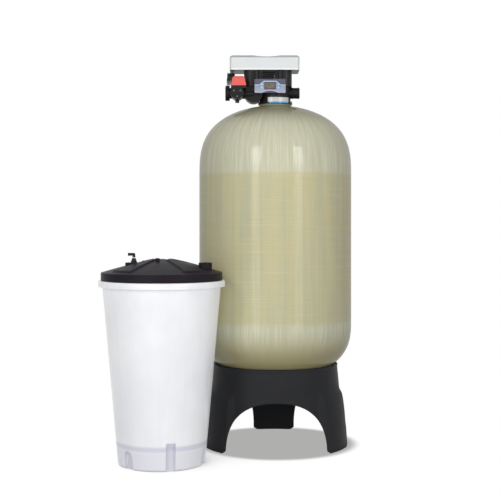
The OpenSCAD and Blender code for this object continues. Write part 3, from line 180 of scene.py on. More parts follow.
class Finish:
    """One procedural material. Constants go straight onto the shader's sockets."""

    def __init__(self, name, **constants):
        self.material = bpy.data.materials.new(name)
        self.material.use_nodes = True
        self.tree = self.material.node_tree
        self.shader = self.tree.nodes["Principled BSDF"]
        for socket, value in constants.items():
            self.set(socket.replace("_", " "), value)

    def add(self, kind, settings, sockets, output=0):
        """Any node: its settings first, then the values or links of its sockets."""
        node = self.tree.nodes.new(kind)
        for name, value in settings.items():
            setattr(node, name, value)
        for name, value in sockets.items():
            self.join(node.inputs[name], value)
        return Field(self, node.outputs[output])

    def join(self, socket, value):
        if isinstance(value, Field):
            self.tree.links.new(value.socket, socket)
        else:
            socket.default_value = value

    def set(self, name, value):
        self.join(self.shader.inputs[name.title().replace("Ior", "IOR")], value)
        return self

    def place(self, centre=(0.0, 0.0, 0.0)):
        """The three coordinates of the surface, in metres from a centre in the model's frame."""
        point = self.add("ShaderNodeTexCoord", {}, {}, "Object")
        axes = [self.add("ShaderNodeSeparateXYZ", {}, {0: point}, axis) for axis in "XYZ"]
        return [axis - shift if shift else axis for axis, shift in zip(axes, centre)]

    def turn(self, x, y):
        """Angle round an upright axis, in radians."""
        return x.math("ARCTAN2", y, x)

    def noise(self, x, y, z, scale, detail=3.0, roughness=0.55):
        vector = self.add("ShaderNodeCombineXYZ", {}, {0: x, 1: y, 2: z})
        return self.add("ShaderNodeTexNoise", {}, {"Vector": vector, "Scale": scale,
                                                   "Detail": detail, "Roughness": roughness})

    def step(self, low, high, value):
        """0 below low, 1 above high, and an S-curve between them."""
        return self.add("ShaderNodeMapRange", {"interpolation_type": "SMOOTHSTEP"},
                        {"Value": value, "From Min": low, "From Max": high})

    def blend(self, share, first, second):
        """A colour between two, by a share."""
        return self.add("ShaderNodeMix", {"data_type": "RGBA"}, {0: share, 6: first, 7: second}, 2)

    def bump(self, height, distance, strength=1.0):
        normal = self.add("ShaderNodeBump", {},
                          {"Height": height, "Distance": distance, "Strength": strength})
        return self.set("Normal", normal)


# Finishes

def wound_resin():
    """Glass fibre under clear glossy resin: hoops round the wall, and fibres over the poles of the
    domes. The domes' paler, greyer colour is partly a painted sheen of light from above; painted
    shade darkens the upper dome under the neck and the lower dome towards the floor."""
    top_dome = (WALL_HIGH - 0.012, WALL_HIGH + 0.018)
    low_dome = (WALL_LOW + 0.02, WALL_LOW - 0.03)
    # painted shadow: the upper dome darkens under the neck
    painted_neck_shadow = (NECK_TOP - 0.16, NECK_TOP)
    # painted shade: the lower dome darkens towards the floor
    painted_foot_shade = (WALL_LOW - 0.02, WALL_LOW - 0.22)
    f = Finish("wound_resin", roughness=0.36, coat_weight=0.46, coat_roughness=0.12,
               specular_ior_level=0.0)
    x, y, z = f.place((TANK_X, TANK_Y, 0))
    turn = f.turn(x, y)
    dome = f.step(*top_dome, z) + f.step(*low_dome, z)
    hoops = f.noise(turn * 0.9, z * 70, 0.0, 1.0, 4.0)
    threads = f.noise(turn * 3, z * 330, 2.0, 1.0, 2.0)
    streaks = f.noise(turn * 16, z * 1.1, 5.0, 1.0, 4.0)
    fibres = f.noise(turn * 95, z * 5, 9.0, 1.0, 3.0)
    drift = f.noise(turn * 1.3, z * 3.2, 3.0, 1.0, 2.0)
    wall = f.blend(f.step(0.38, 0.66, streaks), paint(191, 185, 147), paint(180, 179, 150))
    wall = f.blend(f.step(0.42, 0.70, drift) * 0.6, wall, paint(191, 181, 137))
    wall = f.blend(f.step(0.50, 0.78, hoops) * 0.25, wall, paint(206, 203, 174))
    wall = f.blend(f.step(0.52, 0.30, threads) * 0.18, wall, paint(163, 159, 122))
    # the domes' paler, greyer colour is partly fibre and partly a painted sheen of light from above
    cap = f.blend(f.step(0.34, 0.70, fibres), paint(187, 186, 161), paint(206, 205, 182))
    cap = f.blend(f.step(0.40, 0.65, streaks) * 0.5, cap, paint(180, 180, 152))
    # painted shadow under the neck, then painted shade on the lower dome
    cap = f.blend(f.step(*painted_neck_shadow, z), cap, paint(136, 133, 103))
    cap = f.blend(f.step(*painted_foot_shade, z), cap, paint(152, 145, 107))
    f.set("base color", f.blend(dome.least(1.0), wall, cap))
    f.set("roughness", 0.30 + 0.14 * threads + 0.05 * fibres)
    wall_relief = (hoops * 0.6 + threads * 0.5) * (1 - dome.least(1.0))
    dome_relief = (fibres * 0.8 + streaks * 0.4) * dome
    return f.bump(wall_relief + dome_relief, 0.0011, 0.55)


def moulded(name, colour, rough=0.42, grain=900.0, depth=0.00012, mottle=0.18, **constants):
    """Injection-moulded plastic: an even colour that drifts a little, with fine grain."""
    f = Finish(name, roughness=rough, **constants)
    x, y, z = f.place()
    drift = f.noise(x, y, z, 9.0, 3.0)
    fine = f.noise(x, y, z, grain, 2.0)
    wear = f.noise(x, y, z, 60.0, 4.0)
    f.set("base color", f.blend(drift, dimmed(colour, 1 - mottle), dimmed(colour, 1 + mottle)))
    f.set("roughness", rough - 0.07 + 0.10 * wear + 0.05 * drift)
    return f.bump(fine, depth, 0.5)


def base_moulding():
    """Rotational moulding of the base: blue-black satin with a slow ripple, a fine peel and a
    little dust towards the floor."""
    dusty_from = 0.16
    f = Finish("base_moulding", roughness=0.42, specular_ior_level=0.05)
    x, y, z = f.place()
    ripple = f.noise(x, y, z, 7.0, 2.0)
    peel = f.noise(x, y, z, 170.0, 3.0)
    dust = f.noise(x, y, z, 26.0, 5.0)
    low = f.step(dusty_from, 0.0, z)
    body = f.blend(ripple, paint(41, 41, 43), paint(47, 48, 50))
    dusty = f.step(0.55, 0.85, dust) * (0.12 + 0.25 * low)
    f.set("base color", f.blend(dusty, body, paint(62, 62, 62)))
    f.set("roughness", 0.38 + 0.12 * dust + 0.06 * ripple)
    return f.bump(peel * 0.5 + ripple * 3, 0.0004, 0.35)


def brine_moulding():
    """Translucent white polyethylene with a painted glow: its colour is also emitted, which
    brightens it evenly, its shaded side too. The salt grid inside shows as a faint band above the
    foot, and below the grid it is a little darker."""
    grid_foot, grid_top, below_grid = (0.098, 0.112), (0.142, 0.124), (0.118, 0.09)
    recess_depth, recess_top = (0.002, 0.009), (0.165, 0.155)
    # the emission strength sets the painted glow of the tank
    f = Finish("brine_moulding", roughness=0.36, coat_weight=0.35, coat_roughness=0.18,
               emission_strength=0.26)
    x, y, z = f.place((BRINE_X, BRINE_Y, 0))
    turn = f.turn(x, y)
    cloud = f.noise(x, y, z, 3.0, 4.0)
    flow = f.noise(turn * 6, z * 1.6, 0.0, 1.0, 3.0)
    peel = f.noise(x, y, z, 130.0, 2.0)
    band = f.step(*grid_foot, z) * f.step(*grid_top, z)
    below = f.step(*below_grid, z)
    body = f.blend(f.step(0.3, 0.7, cloud), paint(227, 228, 232), paint(236, 237, 239))
    body = f.blend(f.step(0.45, 0.75, flow) * 0.3, body, paint(222, 223, 230))
    body = f.blend(band * 0.75, body, paint(194, 194, 211))
    body = f.blend(below * 0.6, body, paint(209, 209, 220))
    # painted shade: the recesses of the foot are darker, by how far they lie inside the wall's line
    depth = FOOT_R + z * ((TOP_R - FOOT_R) / (BRINE_H - RIM_H)) - (x * x + y * y) ** 0.5
    recess = f.step(*recess_depth, depth) * f.step(*recess_top, z)
    body = f.blend(recess * 0.5, body, paint(179, 178, 194))
    # painted glow: the tank's colour is also emitted, so it glows though it is no lamp
    f.set("emission color", body)
    f.set("base color", f.blend(0.22, body, BLACK))
    f.set("roughness", 0.30 + 0.14 * flow)
    return f.bump(peel * 0.5 + cloud * 2, 0.0003, 0.3)


def lid_moulding():
    """Blue-black satin of the lid, scuffed along its rings."""
    f = Finish("lid_moulding", roughness=0.40, specular_ior_level=0.04)
    x, y, z = f.place((BRINE_X, BRINE_Y, 0))
    drift = f.noise(x, y, z, 6.0, 3.0)
    peel = f.noise(x, y, z, 240.0, 2.0)
    scuff = f.noise(x * 3, y * 3, z * 40, 6.0, 4.0)
    body = f.blend(drift, paint(30, 27, 31), paint(41, 37, 45))
    f.set("base color", f.blend(f.step(0.6, 0.85, scuff) * 0.3, body, paint(69, 66, 75)))
    f.set("roughness", 0.34 + 0.14 * scuff)
    return f.bump(peel + drift, 0.0003, 0.3)


def fascia_print():
    """Front film: a pale arched band on slate, round the window and the keys. u and v run from -1
    to 1 across the film and up it."""
    f = Finish("fascia_print", roughness=0.28, coat_weight=0.5, coat_roughness=0.12)
    low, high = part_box("fascia")
    x, y, z = f.place(((low.x + high.x) / 2, 0, (low.z + high.z) / 2))
    u = abs(x / ((high.x - low.x) / 2))
    v = z / ((high.z - low.z) / 2)
    grain = f.noise(x, y, z, 700.0, 2.0)
    crest = 0.20 + 0.54 * f.step(0.74, 0.36, u)
    cup = 0.30 * (1 - (u / 0.56) * (u / 0.56)) - 1.0
    band = f.step(0.012, -0.012, v - crest) * f.step(-0.012, 0.012, v - cup)
    upper_edge = f.step(0.10, 0.07, abs(v - crest + 0.05))
    lower_edge = f.step(0.075, 0.05, abs(v - cup - 0.04))
    slate = f.blend(f.step(-1.0, 1.0, v), paint(55, 56, 72), paint(72, 73, 92))
    field = f.blend(f.step(-1.0, 0.6, v), paint(159, 163, 182), paint(126, 133, 156))
    edge = ((upper_edge + lower_edge) * band).least(1.0)
    field = f.blend(edge, field, paint(174, 187, 215))
    f.set("base color", f.blend(band, slate, field))
    f.set("roughness", 0.24 + 0.10 * grain)
    return f.bump(grain, 0.00008, 0.4)


def display_glass():
    """Dark brown display behind a clear window, with faint rows of unlit segments."""
    cell_w, cell_h = 0.0078, 0.0098
    frame_out, frame_in = 0.004, 0.006
    f = Finish("display_glass", roughness=0.14, coat_weight=0.8, coat_roughness=0.05)
    low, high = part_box("display_lens")
    x, y, z = f.place(((low.x + high.x) / 2, 0, (low.z + high.z) / 2))
    width, height = high.x - low.x, high.z - low.z
    cell_x = abs((x + width / 2).wrap(cell_w) - cell_w / 2)
    cell_z = abs((z + height / 2).wrap(cell_h) - cell_h / 2)
    cell = f.step(0.0032, 0.0026, cell_x) * f.step(0.0040, 0.0030, cell_z)
    inside_x = f.step(width / 2 - frame_out, width / 2 - frame_in, abs(x))
    inside_z = f.step(height / 2 - frame_out, height / 2 - frame_in, abs(z))
    patch = f.noise(x * 90, 0.0, z * 70, 1.0, 1.0)
    lit = f.step(0.35, 0.65, patch) * cell
    glow = f.blend(lit, paint(84, 72, 66), paint(130, 110, 98))
    f.set("base color", f.blend(inside_x * inside_z, paint(38, 36, 44), glow))
    f.set("roughness", 0.12 + 0.08 * patch)
    return f


def cover_moulding():
    """Pale satin cover, with painted shade along the slope of its top edge and a painted highlight
    along its lower lip.
    """
    painted_shade_slope = (-0.018, -0.012)
    lip_from, lip_to = 0.013, 0.009
    f = Finish("cover_moulding", roughness=0.40)
    low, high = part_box("dust_cover")
    x, y, z = f.place((0, 0, high.z))
    drift = f.noise(x, y, z, 9.0, 3.0)
    fine = f.noise(x, y, z, 800.0, 2.0)
    foot = low.z - high.z
    body = f.blend(drift, paint(213, 215, 216), paint(220, 223, 224))
    # painted highlight along the lower lip
    body = f.blend(f.step(foot + lip_from, foot + lip_to, z), body, paint(232, 235, 235))
    # painted shade along the slope of the top edge
    f.set("base color", f.blend(f.step(*painted_shade_slope, z), body, paint(173, 176, 179)))
    f.set("roughness", 0.36 + 0.10 * drift)
    return f.bump(fine, 0.00008, 0.5)


def metal(name, colour, rough, along=(1.0, 1.0, 1.0)):
    """Turned or plated metal with fine tool marks along one direction."""
    f = Finish(name, metallic=1.0, roughness=rough)
    x, y, z = f.place()
    marks = f.noise(x * along[0], y * along[1], z * along[2], 500.0, 3.0)
    stain = f.noise(x, y, z, 40.0, 3.0)
    f.set("base color", f.blend(stain, dimmed(colour, 0.75), colour))
    f.set("roughness", rough - 0.06 + 0.14 * marks)
    return f.bump(marks, 0.00006, 0.4)


def grains(name, dark, pale, scale):
    """A bed of loose grains."""
    f = Finish(name, roughness=0.8)
    x, y, z = f.place()
    vector = f.add("ShaderNodeCombineXYZ", {}, {0: x, 1: y, 2: z})
    sockets = {"Vector": vector, "Scale": scale}
    grain = f.add("ShaderNodeTexVoronoi", {}, sockets, "Color")
    shade = f.add("ShaderNodeSeparateXYZ", {}, {0: grain})
    heap = f.add("ShaderNodeTexVoronoi", {}, sockets, "Distance")
    f.set("base color", f.blend(shade, dark, pale))
    f.set("roughness", 0.6 + 0.3 * shade)
    return f.bump(1 - heap, 0.002)


# Forms

def link(name, mesh, finish, body="root", replaces=(), sharp=40.0):
    """Makes a piece of a mesh that is built in the model's frame."""
    mesh.shade_smooth()
    mesh.set_sharp_from_angle(angle=math.radians(sharp))
    piece = bpy.data.objects.new(name, mesh)
    bpy.context.scene.collection.objects.link(piece)
    piece.data.materials.append(finish.material)
    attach(piece, body)
    if replaces:
        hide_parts(*replaces)
    return piece


def filleted(corners, arc=5):
    """A line through (r, z, fillet radius) corners, with each corner rounded."""
    points = []
    for i, (r, z, radius) in enumerate(corners):
        here = Vector((r, z))
        if radius == 0 or i in (0, len(corners) - 1):
            points.append(here)
            continue
        back = Vector(corners[i - 1][:2]) - here
        ahead = Vector(corners[i + 1][:2]) - here
        reach = min(radius, back.length * 0.48, ahead.length * 0.48)
        start, end = here + back.normalized() * reach, here + ahead.normalized() * reach
        for k in range(arc + 1):
            t = k / arc
            points.append(start * (1 - t) ** 2 + here * 2 * t * (1 - t) + end * t ** 2)
    return [(p.x, p.y) for p in points]


def divided(line, longest):
    """The line with its long stretches cut into shorter ones."""
    points = [line[0]]
    for (r0, z0), (r1, z1) in zip(line, line[1:]):
        parts = max(1, math.ceil(math.hypot(r1 - r0, z1 - z0) / longest))
        points += [(r0 + (r1 - r0) * k / parts, z0 + (z1 - z0) * k / parts)
                   for k in range(1, parts + 1)]
    return points


def add_lathe(bm, line, centre, turns, shape=None, axis=None):
    """Turns a line of (r, z) points about an upright axis, at a number of even angles or at a list
    of angles; shape(r, z, angle) may move each point. With axis, a function from local (x, y, z) to
    the model's frame, the form lies along it instead."""
    on_axis = 1e-7

    def put(r, z, angle):
        if shape:
            r, z = shape(r, z, angle)
        x, y = r * math.cos(angle), r * math.sin(angle)
        return bm.verts.new(axis(x, y, z) if axis else (centre[0] + x, centre[1] + y, z))

    if not isinstance(turns, list):
        turns = [2 * math.pi * k / turns for k in range(turns)]
    rows = []
    for r, z in line:
        rows.append([put(r, z, a) for a in turns] if r > on_axis else [put(0.0, z, 0.0)])
    for low, high in zip(rows, rows[1:]):
        for k in range(len(turns)):
            n = (k + 1) % len(turns)
            ring = [low[k % len(low)], low[n % len(low)],
                    high[n % len(high)], high[k % len(high)]]
            corners = [v for i, v in enumerate(ring) if v not in ring[:i]]
            if len(corners) > 2:
                bm.faces.new(corners)


def finished(bm, name):
    """The mesh that was being built, with its faces turned outwards."""
    bmesh.ops.recalc_face_normals(bm, faces=bm.faces)
    mesh = bpy.data.meshes.new(name)
    bm.to_mesh(mesh)
    bm.free()
    return mesh


# Pressure tank

DOME_LOW = 0.362
DOME_HIGH = 0.423
DOME_STEPS = 46
NECK_RISE = 0.006
NECK_R = 0.097
NECK_HOLE_R = 0.080
NECK_HOLE_H = 0.05
NECK_BLEND = 0.012
WALL_LOW = tank_low.z + DOME_LOW
WALL_HIGH = NECK_TOP - NECK_RISE - DOME_HIGH
WALL_STEP = 0.0030
HOOP_PITCH = 0.0141
HOOP_RELIEF = 0.00030


def hoop_relief(r, z, angle):
    """The wall's hoops stand a little proud, each lying slightly askew of the next."""
    above_foot = smooth(WALL_LOW, WALL_LOW + 0.05, z)
    on_wall = above_foot * smooth(WALL_HIGH + 0.004, WALL_HIGH - 0.03, z)
    if on_wall == 0:
        return r, z
    sway = 0.7 * math.sin(2 * angle + 9 * z) + 0.5 * math.sin(5 * angle - 4 * z)
    turn = 2 * math.pi * z / HOOP_PITCH
    hoop = 0.55 * math.sin(turn + sway) + 0.35 * math.sin(1.21 * turn + 3 * angle) \
        + 0.30 * math.sin(1.13 * turn - 4 * angle + 1.0)
    return r + HOOP_RELIEF * on_wall * hoop, z


def tank_line():
    """Half outline of the vessel, from the foot of the lower dome to the hole in the neck."""
    rise = [(k / DOME_STEPS) ** 1.5 * math.pi / 2 for k in range(DOME_STEPS + 1)]
    low = [(TANK_R * math.cos(t), WALL_LOW - DOME_LOW * math.sin(t) ** (2 / 3))
           for t in reversed(rise)]
    low[0] = (0.0, low[0][1])
    high = [(TANK_R * math.cos(t), WALL_HIGH + DOME_HIGH * math.sin(t) ** (2 / 3)) for t in rise]
    high = [p for p in high if p[0] > NECK_R + NECK_BLEND]
    dome_foot = WALL_HIGH + DOME_HIGH * (1 - (NECK_R / TANK_R) ** 2) ** (1 / 3)
    hole_foot = NECK_TOP - NECK_HOLE_H
    neck = filleted([(high[-1][0], high[-1][1], 0), (NECK_R, dome_foot, 0.010),
                     (NECK_R, NECK_TOP, 0.003), (NECK_HOLE_R, NECK_TOP, 0.001),
                     (NECK_HOLE_R, hole_foot, 0), (0.0, hole_foot, 0)])
    return low + divided([low[-1], high[0]], WALL_STEP)[1:-1] + high + neck[1:]


bm = bmesh.new()
add_lathe(bm, tank_line(), (TANK_X, TANK_Y), 200, hoop_relief)
link("tank_wound_shell", finished(bm, "tank_wound_shell"), wound_resin(),
     replaces=["tank_shell"], sharp=50)

# Tripod base: rows of (height, outside radius) for the skirt and for the middle of a leg

BASE_H = 0.487
BASE_WALL = 0.014
SEAT_R = 0.356
SEAT_SLACK = 0.004
SEAT_H = 0.02
SKIRT = [(0.0, 0.402), (0.345, 0.385), (0.469, 0.373), (0.475, 0.3748), (0.481, 0.3748),
         (0.4845, 0.373), (0.4865, 0.370), (0.487, 0.367)]
PAD = [(0.0, 0.438), (0.20, 0.424), (0.269, 0.416), (0.310, 0.409), (0.334, 0.399), (0.345, 0.385)]
PAD_HALF = math.radians(19.5)
PAD_SOFT = math.radians(3.5)
PAD_ROUND = 0.014
PAD_TOP = 0.36
SIXTH = math.radians(60)
ARCH_TURNS = (-90, 30, 150)
ARCH_HALF = 0.294
ARCH_H = 0.299
ARCH_POWER = 2.3
FOOT_ROUND = 0.024
FOOT_FLARE = 0.8
LIP = 0.018
LIP_SOFT = 0.004
LIP_FADE = (0.40, 0.34)
LIP_PROUD = 0.005
LIP_DEPTH = 0.034
EDGE = 0.005
EDGE_AT_FLOOR = 0.001
WELD = 0.00002


def softened(table, place, reach):
    """The table's value, averaged a little way up and down so that its corners are round."""
    return sum(between(table, place + reach * k / 4) for k in range(-4, 5)) / 9


def base_faces(angle, z, from_arch):
    """Outside and inside radius of the base at an angle from the middle of an arch."""
    off_leg = SIXTH - abs(angle)
    skirt = between(SKIRT, z)
    on_leg = smooth(PAD_HALF + PAD_SOFT, PAD_HALF - PAD_SOFT, off_leg)
    pad = max(0.0, softened(PAD, z, PAD_ROUND) - skirt) if z < PAD_TOP else 0.0
    lip = smooth(LIP + LIP_SOFT, LIP - LIP_SOFT, from_arch) * smooth(*LIP_FADE, z)
    outside = skirt + pad * on_leg + LIP_PROUD * lip * (1 - 0.6 * on_leg)
    inside = skirt + pad * on_leg - BASE_WALL - (LIP_DEPTH - BASE_WALL) * lip * (1 - on_leg)
    if z > BASE_H - SEAT_H:
        inside = max(inside, SEAT_R - SEAT_SLACK)
    for near in (from_arch, z + EDGE_AT_FLOOR):
        if near < EDGE:
            shave = EDGE - math.sqrt(max(0.0, EDGE ** 2 - (EDGE - near) ** 2))
            outside -= shave
            inside += shave
    return outside, inside


def edge_angle(x, z, side):
    """Angle at which the outside or inside face stands a distance x beside the arch's middle."""
    low, high = 0.0, SIXTH
    for halving in range(24):
        middle = (low + high) / 2
        if base_faces(middle, z, EDGE)[side] * math.sin(middle) < abs(x):
            low = middle
        else:
            high = middle
    return math.copysign(low, x)


def arch_edge(t):
    """The arch's edge: its angle on the outside and on the inside, and its height; t runs from 0 at
    the left foot to 1 at the right one."""
    turn = math.pi * (1 - t)
    across = abs(math.cos(turn)) ** (2 / ARCH_POWER)
    x = math.copysign(across, math.cos(turn)) * ARCH_HALF
    z = ARCH_H * max(0.0, math.sin(turn)) ** (2 / ARCH_POWER)
    if z < FOOT_ROUND:
        flare = FOOT_ROUND - math.sqrt(FOOT_ROUND ** 2 - (FOOT_ROUND - z) ** 2)
        x += math.copysign(flare, x) * FOOT_FLARE
    return [edge_angle(x, z, side) for side in (0, 1)], z


def outer_edge(t):
    """Angle and height on the border of an arch's third: up one leg's middle, along the rim, down
    the other."""
    corner = 0.30
    if t < corner:
        return -SIXTH, BASE_H * t / corner
    if t > 1 - corner:
        return SIXTH, BASE_H * (1 - t) / corner
    return SIXTH * (2 * (t - corner) / (1 - 2 * corner) - 1), BASE_H


def base_skins(bm, arch_turn, along, shares):
    """Outside and inside skin of an arch's third, as columns of points from the arch outwards."""
    skins = [], []
    for i in range(along + 1):
        t = i / along
        (edges, z0), (a1, z1) = arch_edge(t), outer_edge(t)
        for side, (skin, a0) in enumerate(zip(skins, edges)):
            length = math.hypot((a1 - a0) * SKIRT[0][1], z1 - z0)
            skin.append([])
            for share in shares:
                angle, z = a0 + (a1 - a0) * share, z0 + (z1 - z0) * share
                r = base_faces(angle, z, share * length)[side]
                heading = math.radians(arch_turn) + angle
                x, y = TANK_X + r * math.cos(heading), TANK_Y + r * math.sin(heading)
                skin[-1].append(bm.verts.new((x, y, z)))
    return skins


def base_mesh():
    """The base in thirds, one round each arch, closed along the arch, the rim and the floor."""
    along = 100
    shares = [0, 0.004, 0.010, 0.018, 0.030, 0.05, 0.075, 0.10, 0.13]
    shares += [0.13 + 0.77 * k / 26 for k in range(1, 27)]
    shares += [0.92, 0.94, 0.955, 0.968, 0.978, 0.986, 0.993, 1.0]
    bm = bmesh.new()
    for arch_turn in ARCH_TURNS:
        outer, inner = base_skins(bm, arch_turn, along, shares)
        for skin in (outer, inner):
            for left, right in zip(skin, skin[1:]):
                for j in range(len(shares) - 1):
                    bm.faces.new((left[j], right[j], right[j + 1], left[j + 1]))
        arch = list(zip([c[0] for c in outer], [c[0] for c in inner]))
        rim = [(o[-1], n[-1]) for o, n in zip(outer, inner) if o[-1].co.z > BASE_H - 1e-6]
        floor = [list(zip(outer[k], inner[k])) for k in (0, along)]
        for border in [arch, rim, *floor]:
            for (o0, n0), (o1, n1) in zip(border, border[1:]):
                bm.faces.new((o0, o1, n1, n0))
    bmesh.ops.remove_doubles(bm, verts=bm.verts, dist=WELD)
    return finished(bm, "base_moulding")


link("base_moulding", base_mesh(), base_moulding(), replaces=["tank_base"],
     sharp=60)

# Brine tank; a recess of its foot is (degrees from the front, width, height, arched)

BRINE_H = brine_high.z
RIM_R = (brine_high.x - brine_low.x) / 2
RIM_H = 0.034
TOP_R = 0.327
FOOT_R = 0.241
BRINE_WALL = 0.006
NICHES = [(turn, 0.070, 0.095, True) for turn in (-44, 76, 196)]
NICHES += [(turn, 0.048, 0.150, False) for turn in (16, 136, 256)]
NICHE_FLAT = 0.219
NICHE_SOFT = 0.004
NICHE_MARGIN = 0.008
NICHE_REACH = 0.3
FOOT_ZONE_H = 0.17
FOOT_ZONE_R = 0.2


def wall_radius(z):
    return FOOT_R + (TOP_R - FOOT_R) * z / (BRINE_H - RIM_H)


def niche_share(across, z, width, height, arched):
    """1 inside a recess of the foot, 0 outside it, with a soft edge."""
    half, soft = width / 2, NICHE_SOFT
    if arched and z > height - half:
        return smooth(half + soft, half - soft, math.hypot(across, z - height + half))
    beside = smooth(half + soft, half - soft, abs(across))
    return beside * smooth(height + soft, height - soft, z)


def brine_shape(r, z, angle):
    """Presses the recesses of the foot back to a flat."""
    if z > FOOT_ZONE_H or r < NICHE_FLAT - 0.03:
        return r, z
    for turn, width, height, arched in NICHES:
        off = angle_off(angle, turn)
        if abs(off) < NICHE_REACH:
            flat = NICHE_FLAT / math.cos(off)
            share = niche_share(r * math.sin(off), z, width, height, arched)
            return r + min(0.0, flat - r) * share, z
    return r, z


def brine_angles():
    """Angles round the brine tank, closer together across the recesses."""
    even, across, closest, past_end = 180, 16, 0.004, 9.0
    marks = {round(2 * math.pi * k / even, 5) for k in range(even)}
    for turn, width, height, arched in NICHES:
        half = width / 2 + NICHE_MARGIN
        for k in range(-across, across + 1):
            mark = math.radians(turn - 90) + half * k / across / FOOT_R
            marks.add(round(mark % (2 * math.pi), 5))
    marks = sorted(marks)
    return [a for a, b in zip(marks, marks[1:] + [past_end]) if b - a > closest]


def brine_mesh():
    neck = BRINE_H - RIM_H
    under_rim = BRINE_H - BRINE_WALL
    mouth_r = TOP_R - BRINE_WALL
    step_r = NICHE_FLAT - 2 * BRINE_WALL
    outside = filleted([(0, 0, 0), (FOOT_R - 0.014, 0, 0.004),
                        (wall_radius(0.014) - 0.0035, 0.0045, 0.005),
                        (wall_radius(0.014), 0.014, 0.006), (TOP_R, neck, 0.004),
                        (TOP_R, under_rim, 0.003), (RIM_R - BRINE_WALL, under_rim, 0.003),
                        (RIM_R - BRINE_WALL, neck, 0.002), (RIM_R, neck, 0.0025),
                        (RIM_R, BRINE_H, 0.008), (mouth_r, BRINE_H, 0.003), (mouth_r, neck, 0.01)])
    inside = filleted([(mouth_r, neck, 0), (wall_radius(0.16) - BRINE_WALL, 0.16, 0.01),
                       (step_r, 0.155, 0.01), (step_r, BRINE_WALL, 0.01), (0, BRINE_WALL, 0)])
    fine, coarse = divided(outside, 0.0045), divided(outside, 0.035)
    foot = [p for p in fine if p[1] < FOOT_ZONE_H and p[0] > FOOT_ZONE_R]
    rest = [p for p in coarse if p[1] >= FOOT_ZONE_H or p[0] <= FOOT_ZONE_R]
    line = [p for p in rest if p[1] < FOOT_ZONE_H] + foot
    line += [p for p in rest if p[1] >= FOOT_ZONE_H] + divided(inside, 0.05)[1:]
    bm = bmesh.new()
    add_lathe(bm, line, (BRINE_X, BRINE_Y), brine_angles(), brine_shape)
    return finished(bm, "brine_tank_moulding")


link("brine_tank_moulding", brine_mesh(), brine_moulding(), replaces=["brine_tank"],
     sharp=50)

# Lid

LID_R = 0.336
PLUG_R = 0.3198
PLUG_H = 0.022
LID_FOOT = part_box("lid")[0].z + PLUG_H
LID_SHOULDER = LID_FOOT + 0.043
LID_RISE = 0.075
LID_POWER = 1.35
LID_WALL = 0.005
LID_STEPS = 60
WEDGE_TURNS = (-42, 42, 138, 222)
WEDGE_HALF = math.radians(14)
WEDGE_RISE = 0.008
WEDGE_IN = 0.058
WEDGE_OUT = LID_R - 0.026


def dome_height(r):
    return LID_SHOULDER + LID_RISE * (1 - (r / LID_R) ** LID_POWER)


def wedge_share(r, angle):
    """1 on a raised wedge of the lid, 0 beside it, with sloping sides."""
    begun = smooth(WEDGE_IN - 0.010, WEDGE_IN + 0.012, r)
    radial = begun * smooth(WEDGE_OUT + 0.002, WEDGE_OUT - 0.012, r)
    share = 0.0
    for turn in WEDGE_TURNS:
        off = angle_off(angle, turn)
        share = max(share, smooth(0.007, -0.005, (abs(off) - WEDGE_HALF) * r))
    return share * radial


def lid_shape(r, z, angle):
    """Raises the wedges on the lid's top face and leaves its rim, skirt and underside."""
    on_top = z >= dome_height(min(r, LID_R)) - 0.001
    if not on_top or z < LID_SHOULDER - 0.004 or r > LID_R - 0.012:
        return r, z
    return r, z + WEDGE_RISE * wedge_share(r, angle)


def lid_mesh():
    radii = [LID_R * k / LID_STEPS for k in range(LID_STEPS)]
    top = [(r, dome_height(r)) for r in radii if r < LID_R - 0.009]
    plug_foot, plug_in = LID_FOOT - PLUG_H, PLUG_R - LID_WALL
    rim = filleted([(top[-1][0], top[-1][1], 0), (LID_R, LID_SHOULDER + 0.001, 0.007),
                    (LID_R, LID_FOOT, 0.002), (PLUG_R, LID_FOOT, 0.001),
                    (PLUG_R, plug_foot, 0.002), (plug_in, plug_foot, 0.002),
                    (plug_in, LID_SHOULDER - 0.02, 0.004),
                    (PLUG_R - 0.03, LID_SHOULDER - 0.004, 0)])
    under = [(r, dome_height(r) - LID_WALL) for r in reversed(radii) if r < PLUG_R - 0.04]
    bm = bmesh.new()
    line = top + divided(rim, 0.012)[1:] + under
    add_lathe(bm, line, (BRINE_X, BRINE_Y), 360, lid_shape)
    add_knobs(bm)
    return finished(bm, "lid_moulding")


def add_knobs(bm):
    """The fitting's pad, the lug on the right, and the two small posts of the lid, each as its place
    from the lid's middle, radius, top and edge round."""
    pad_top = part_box("lid_gland")[0].z - 0.0002
    sunk = 0.02
    knobs = [(-0.150, -0.045, 0.048, pad_top, 0.005),
             (0.243, -0.045, 0.037, LID_SHOULDER + 0.056, 0.006),
             (-0.094, -0.045, 0.011, pad_top + 0.011, 0.004),
             (-0.018, -0.070, 0.012, LID_SHOULDER + LID_RISE + 0.006, 0.005)]
    for x, y, r, top, edge in knobs:
        foot = dome_height(math.hypot(x, y) + r * 0.9) - sunk
        line = filleted([(0, foot, 0), (r, foot, 0.0), (r, top, edge), (0, top, 0)])
        add_lathe(bm, line, (BRINE_X + x, BRINE_Y + y), 40)


link("lid_moulding", lid_mesh(), lid_moulding(), body="lid", replaces=["lid"],
     sharp=45)

# Actuator cable, one unbroken length: out of the gland, round the coil and up through the gear deck.
# Its points are in millimetres from the valve's place

CABLE_D = 0.0055
CABLE_IN = [(-232, -70, 132), (-232, -64, 132), (-232, -57, 131), (-233, -50, 130),
            (-235, -42, 127), (-237, -33, 123), (-240, -22, 120)]
CABLE_OUT = [(-289, 27, 162), (-286, 29, 168), (-281, 31, 172), (-274, 34, 175), (-268, 36, 178),
             (-263, 38, 182), (-259, 39, 188), (-258, 40, 193), (-258, 40, 199)]
COIL_AT = (-243, -10, 154.15)
COIL_R = 36
COIL_PITCH = 7.6
COIL_TURNS = 6.25
COIL_STEPS = 24


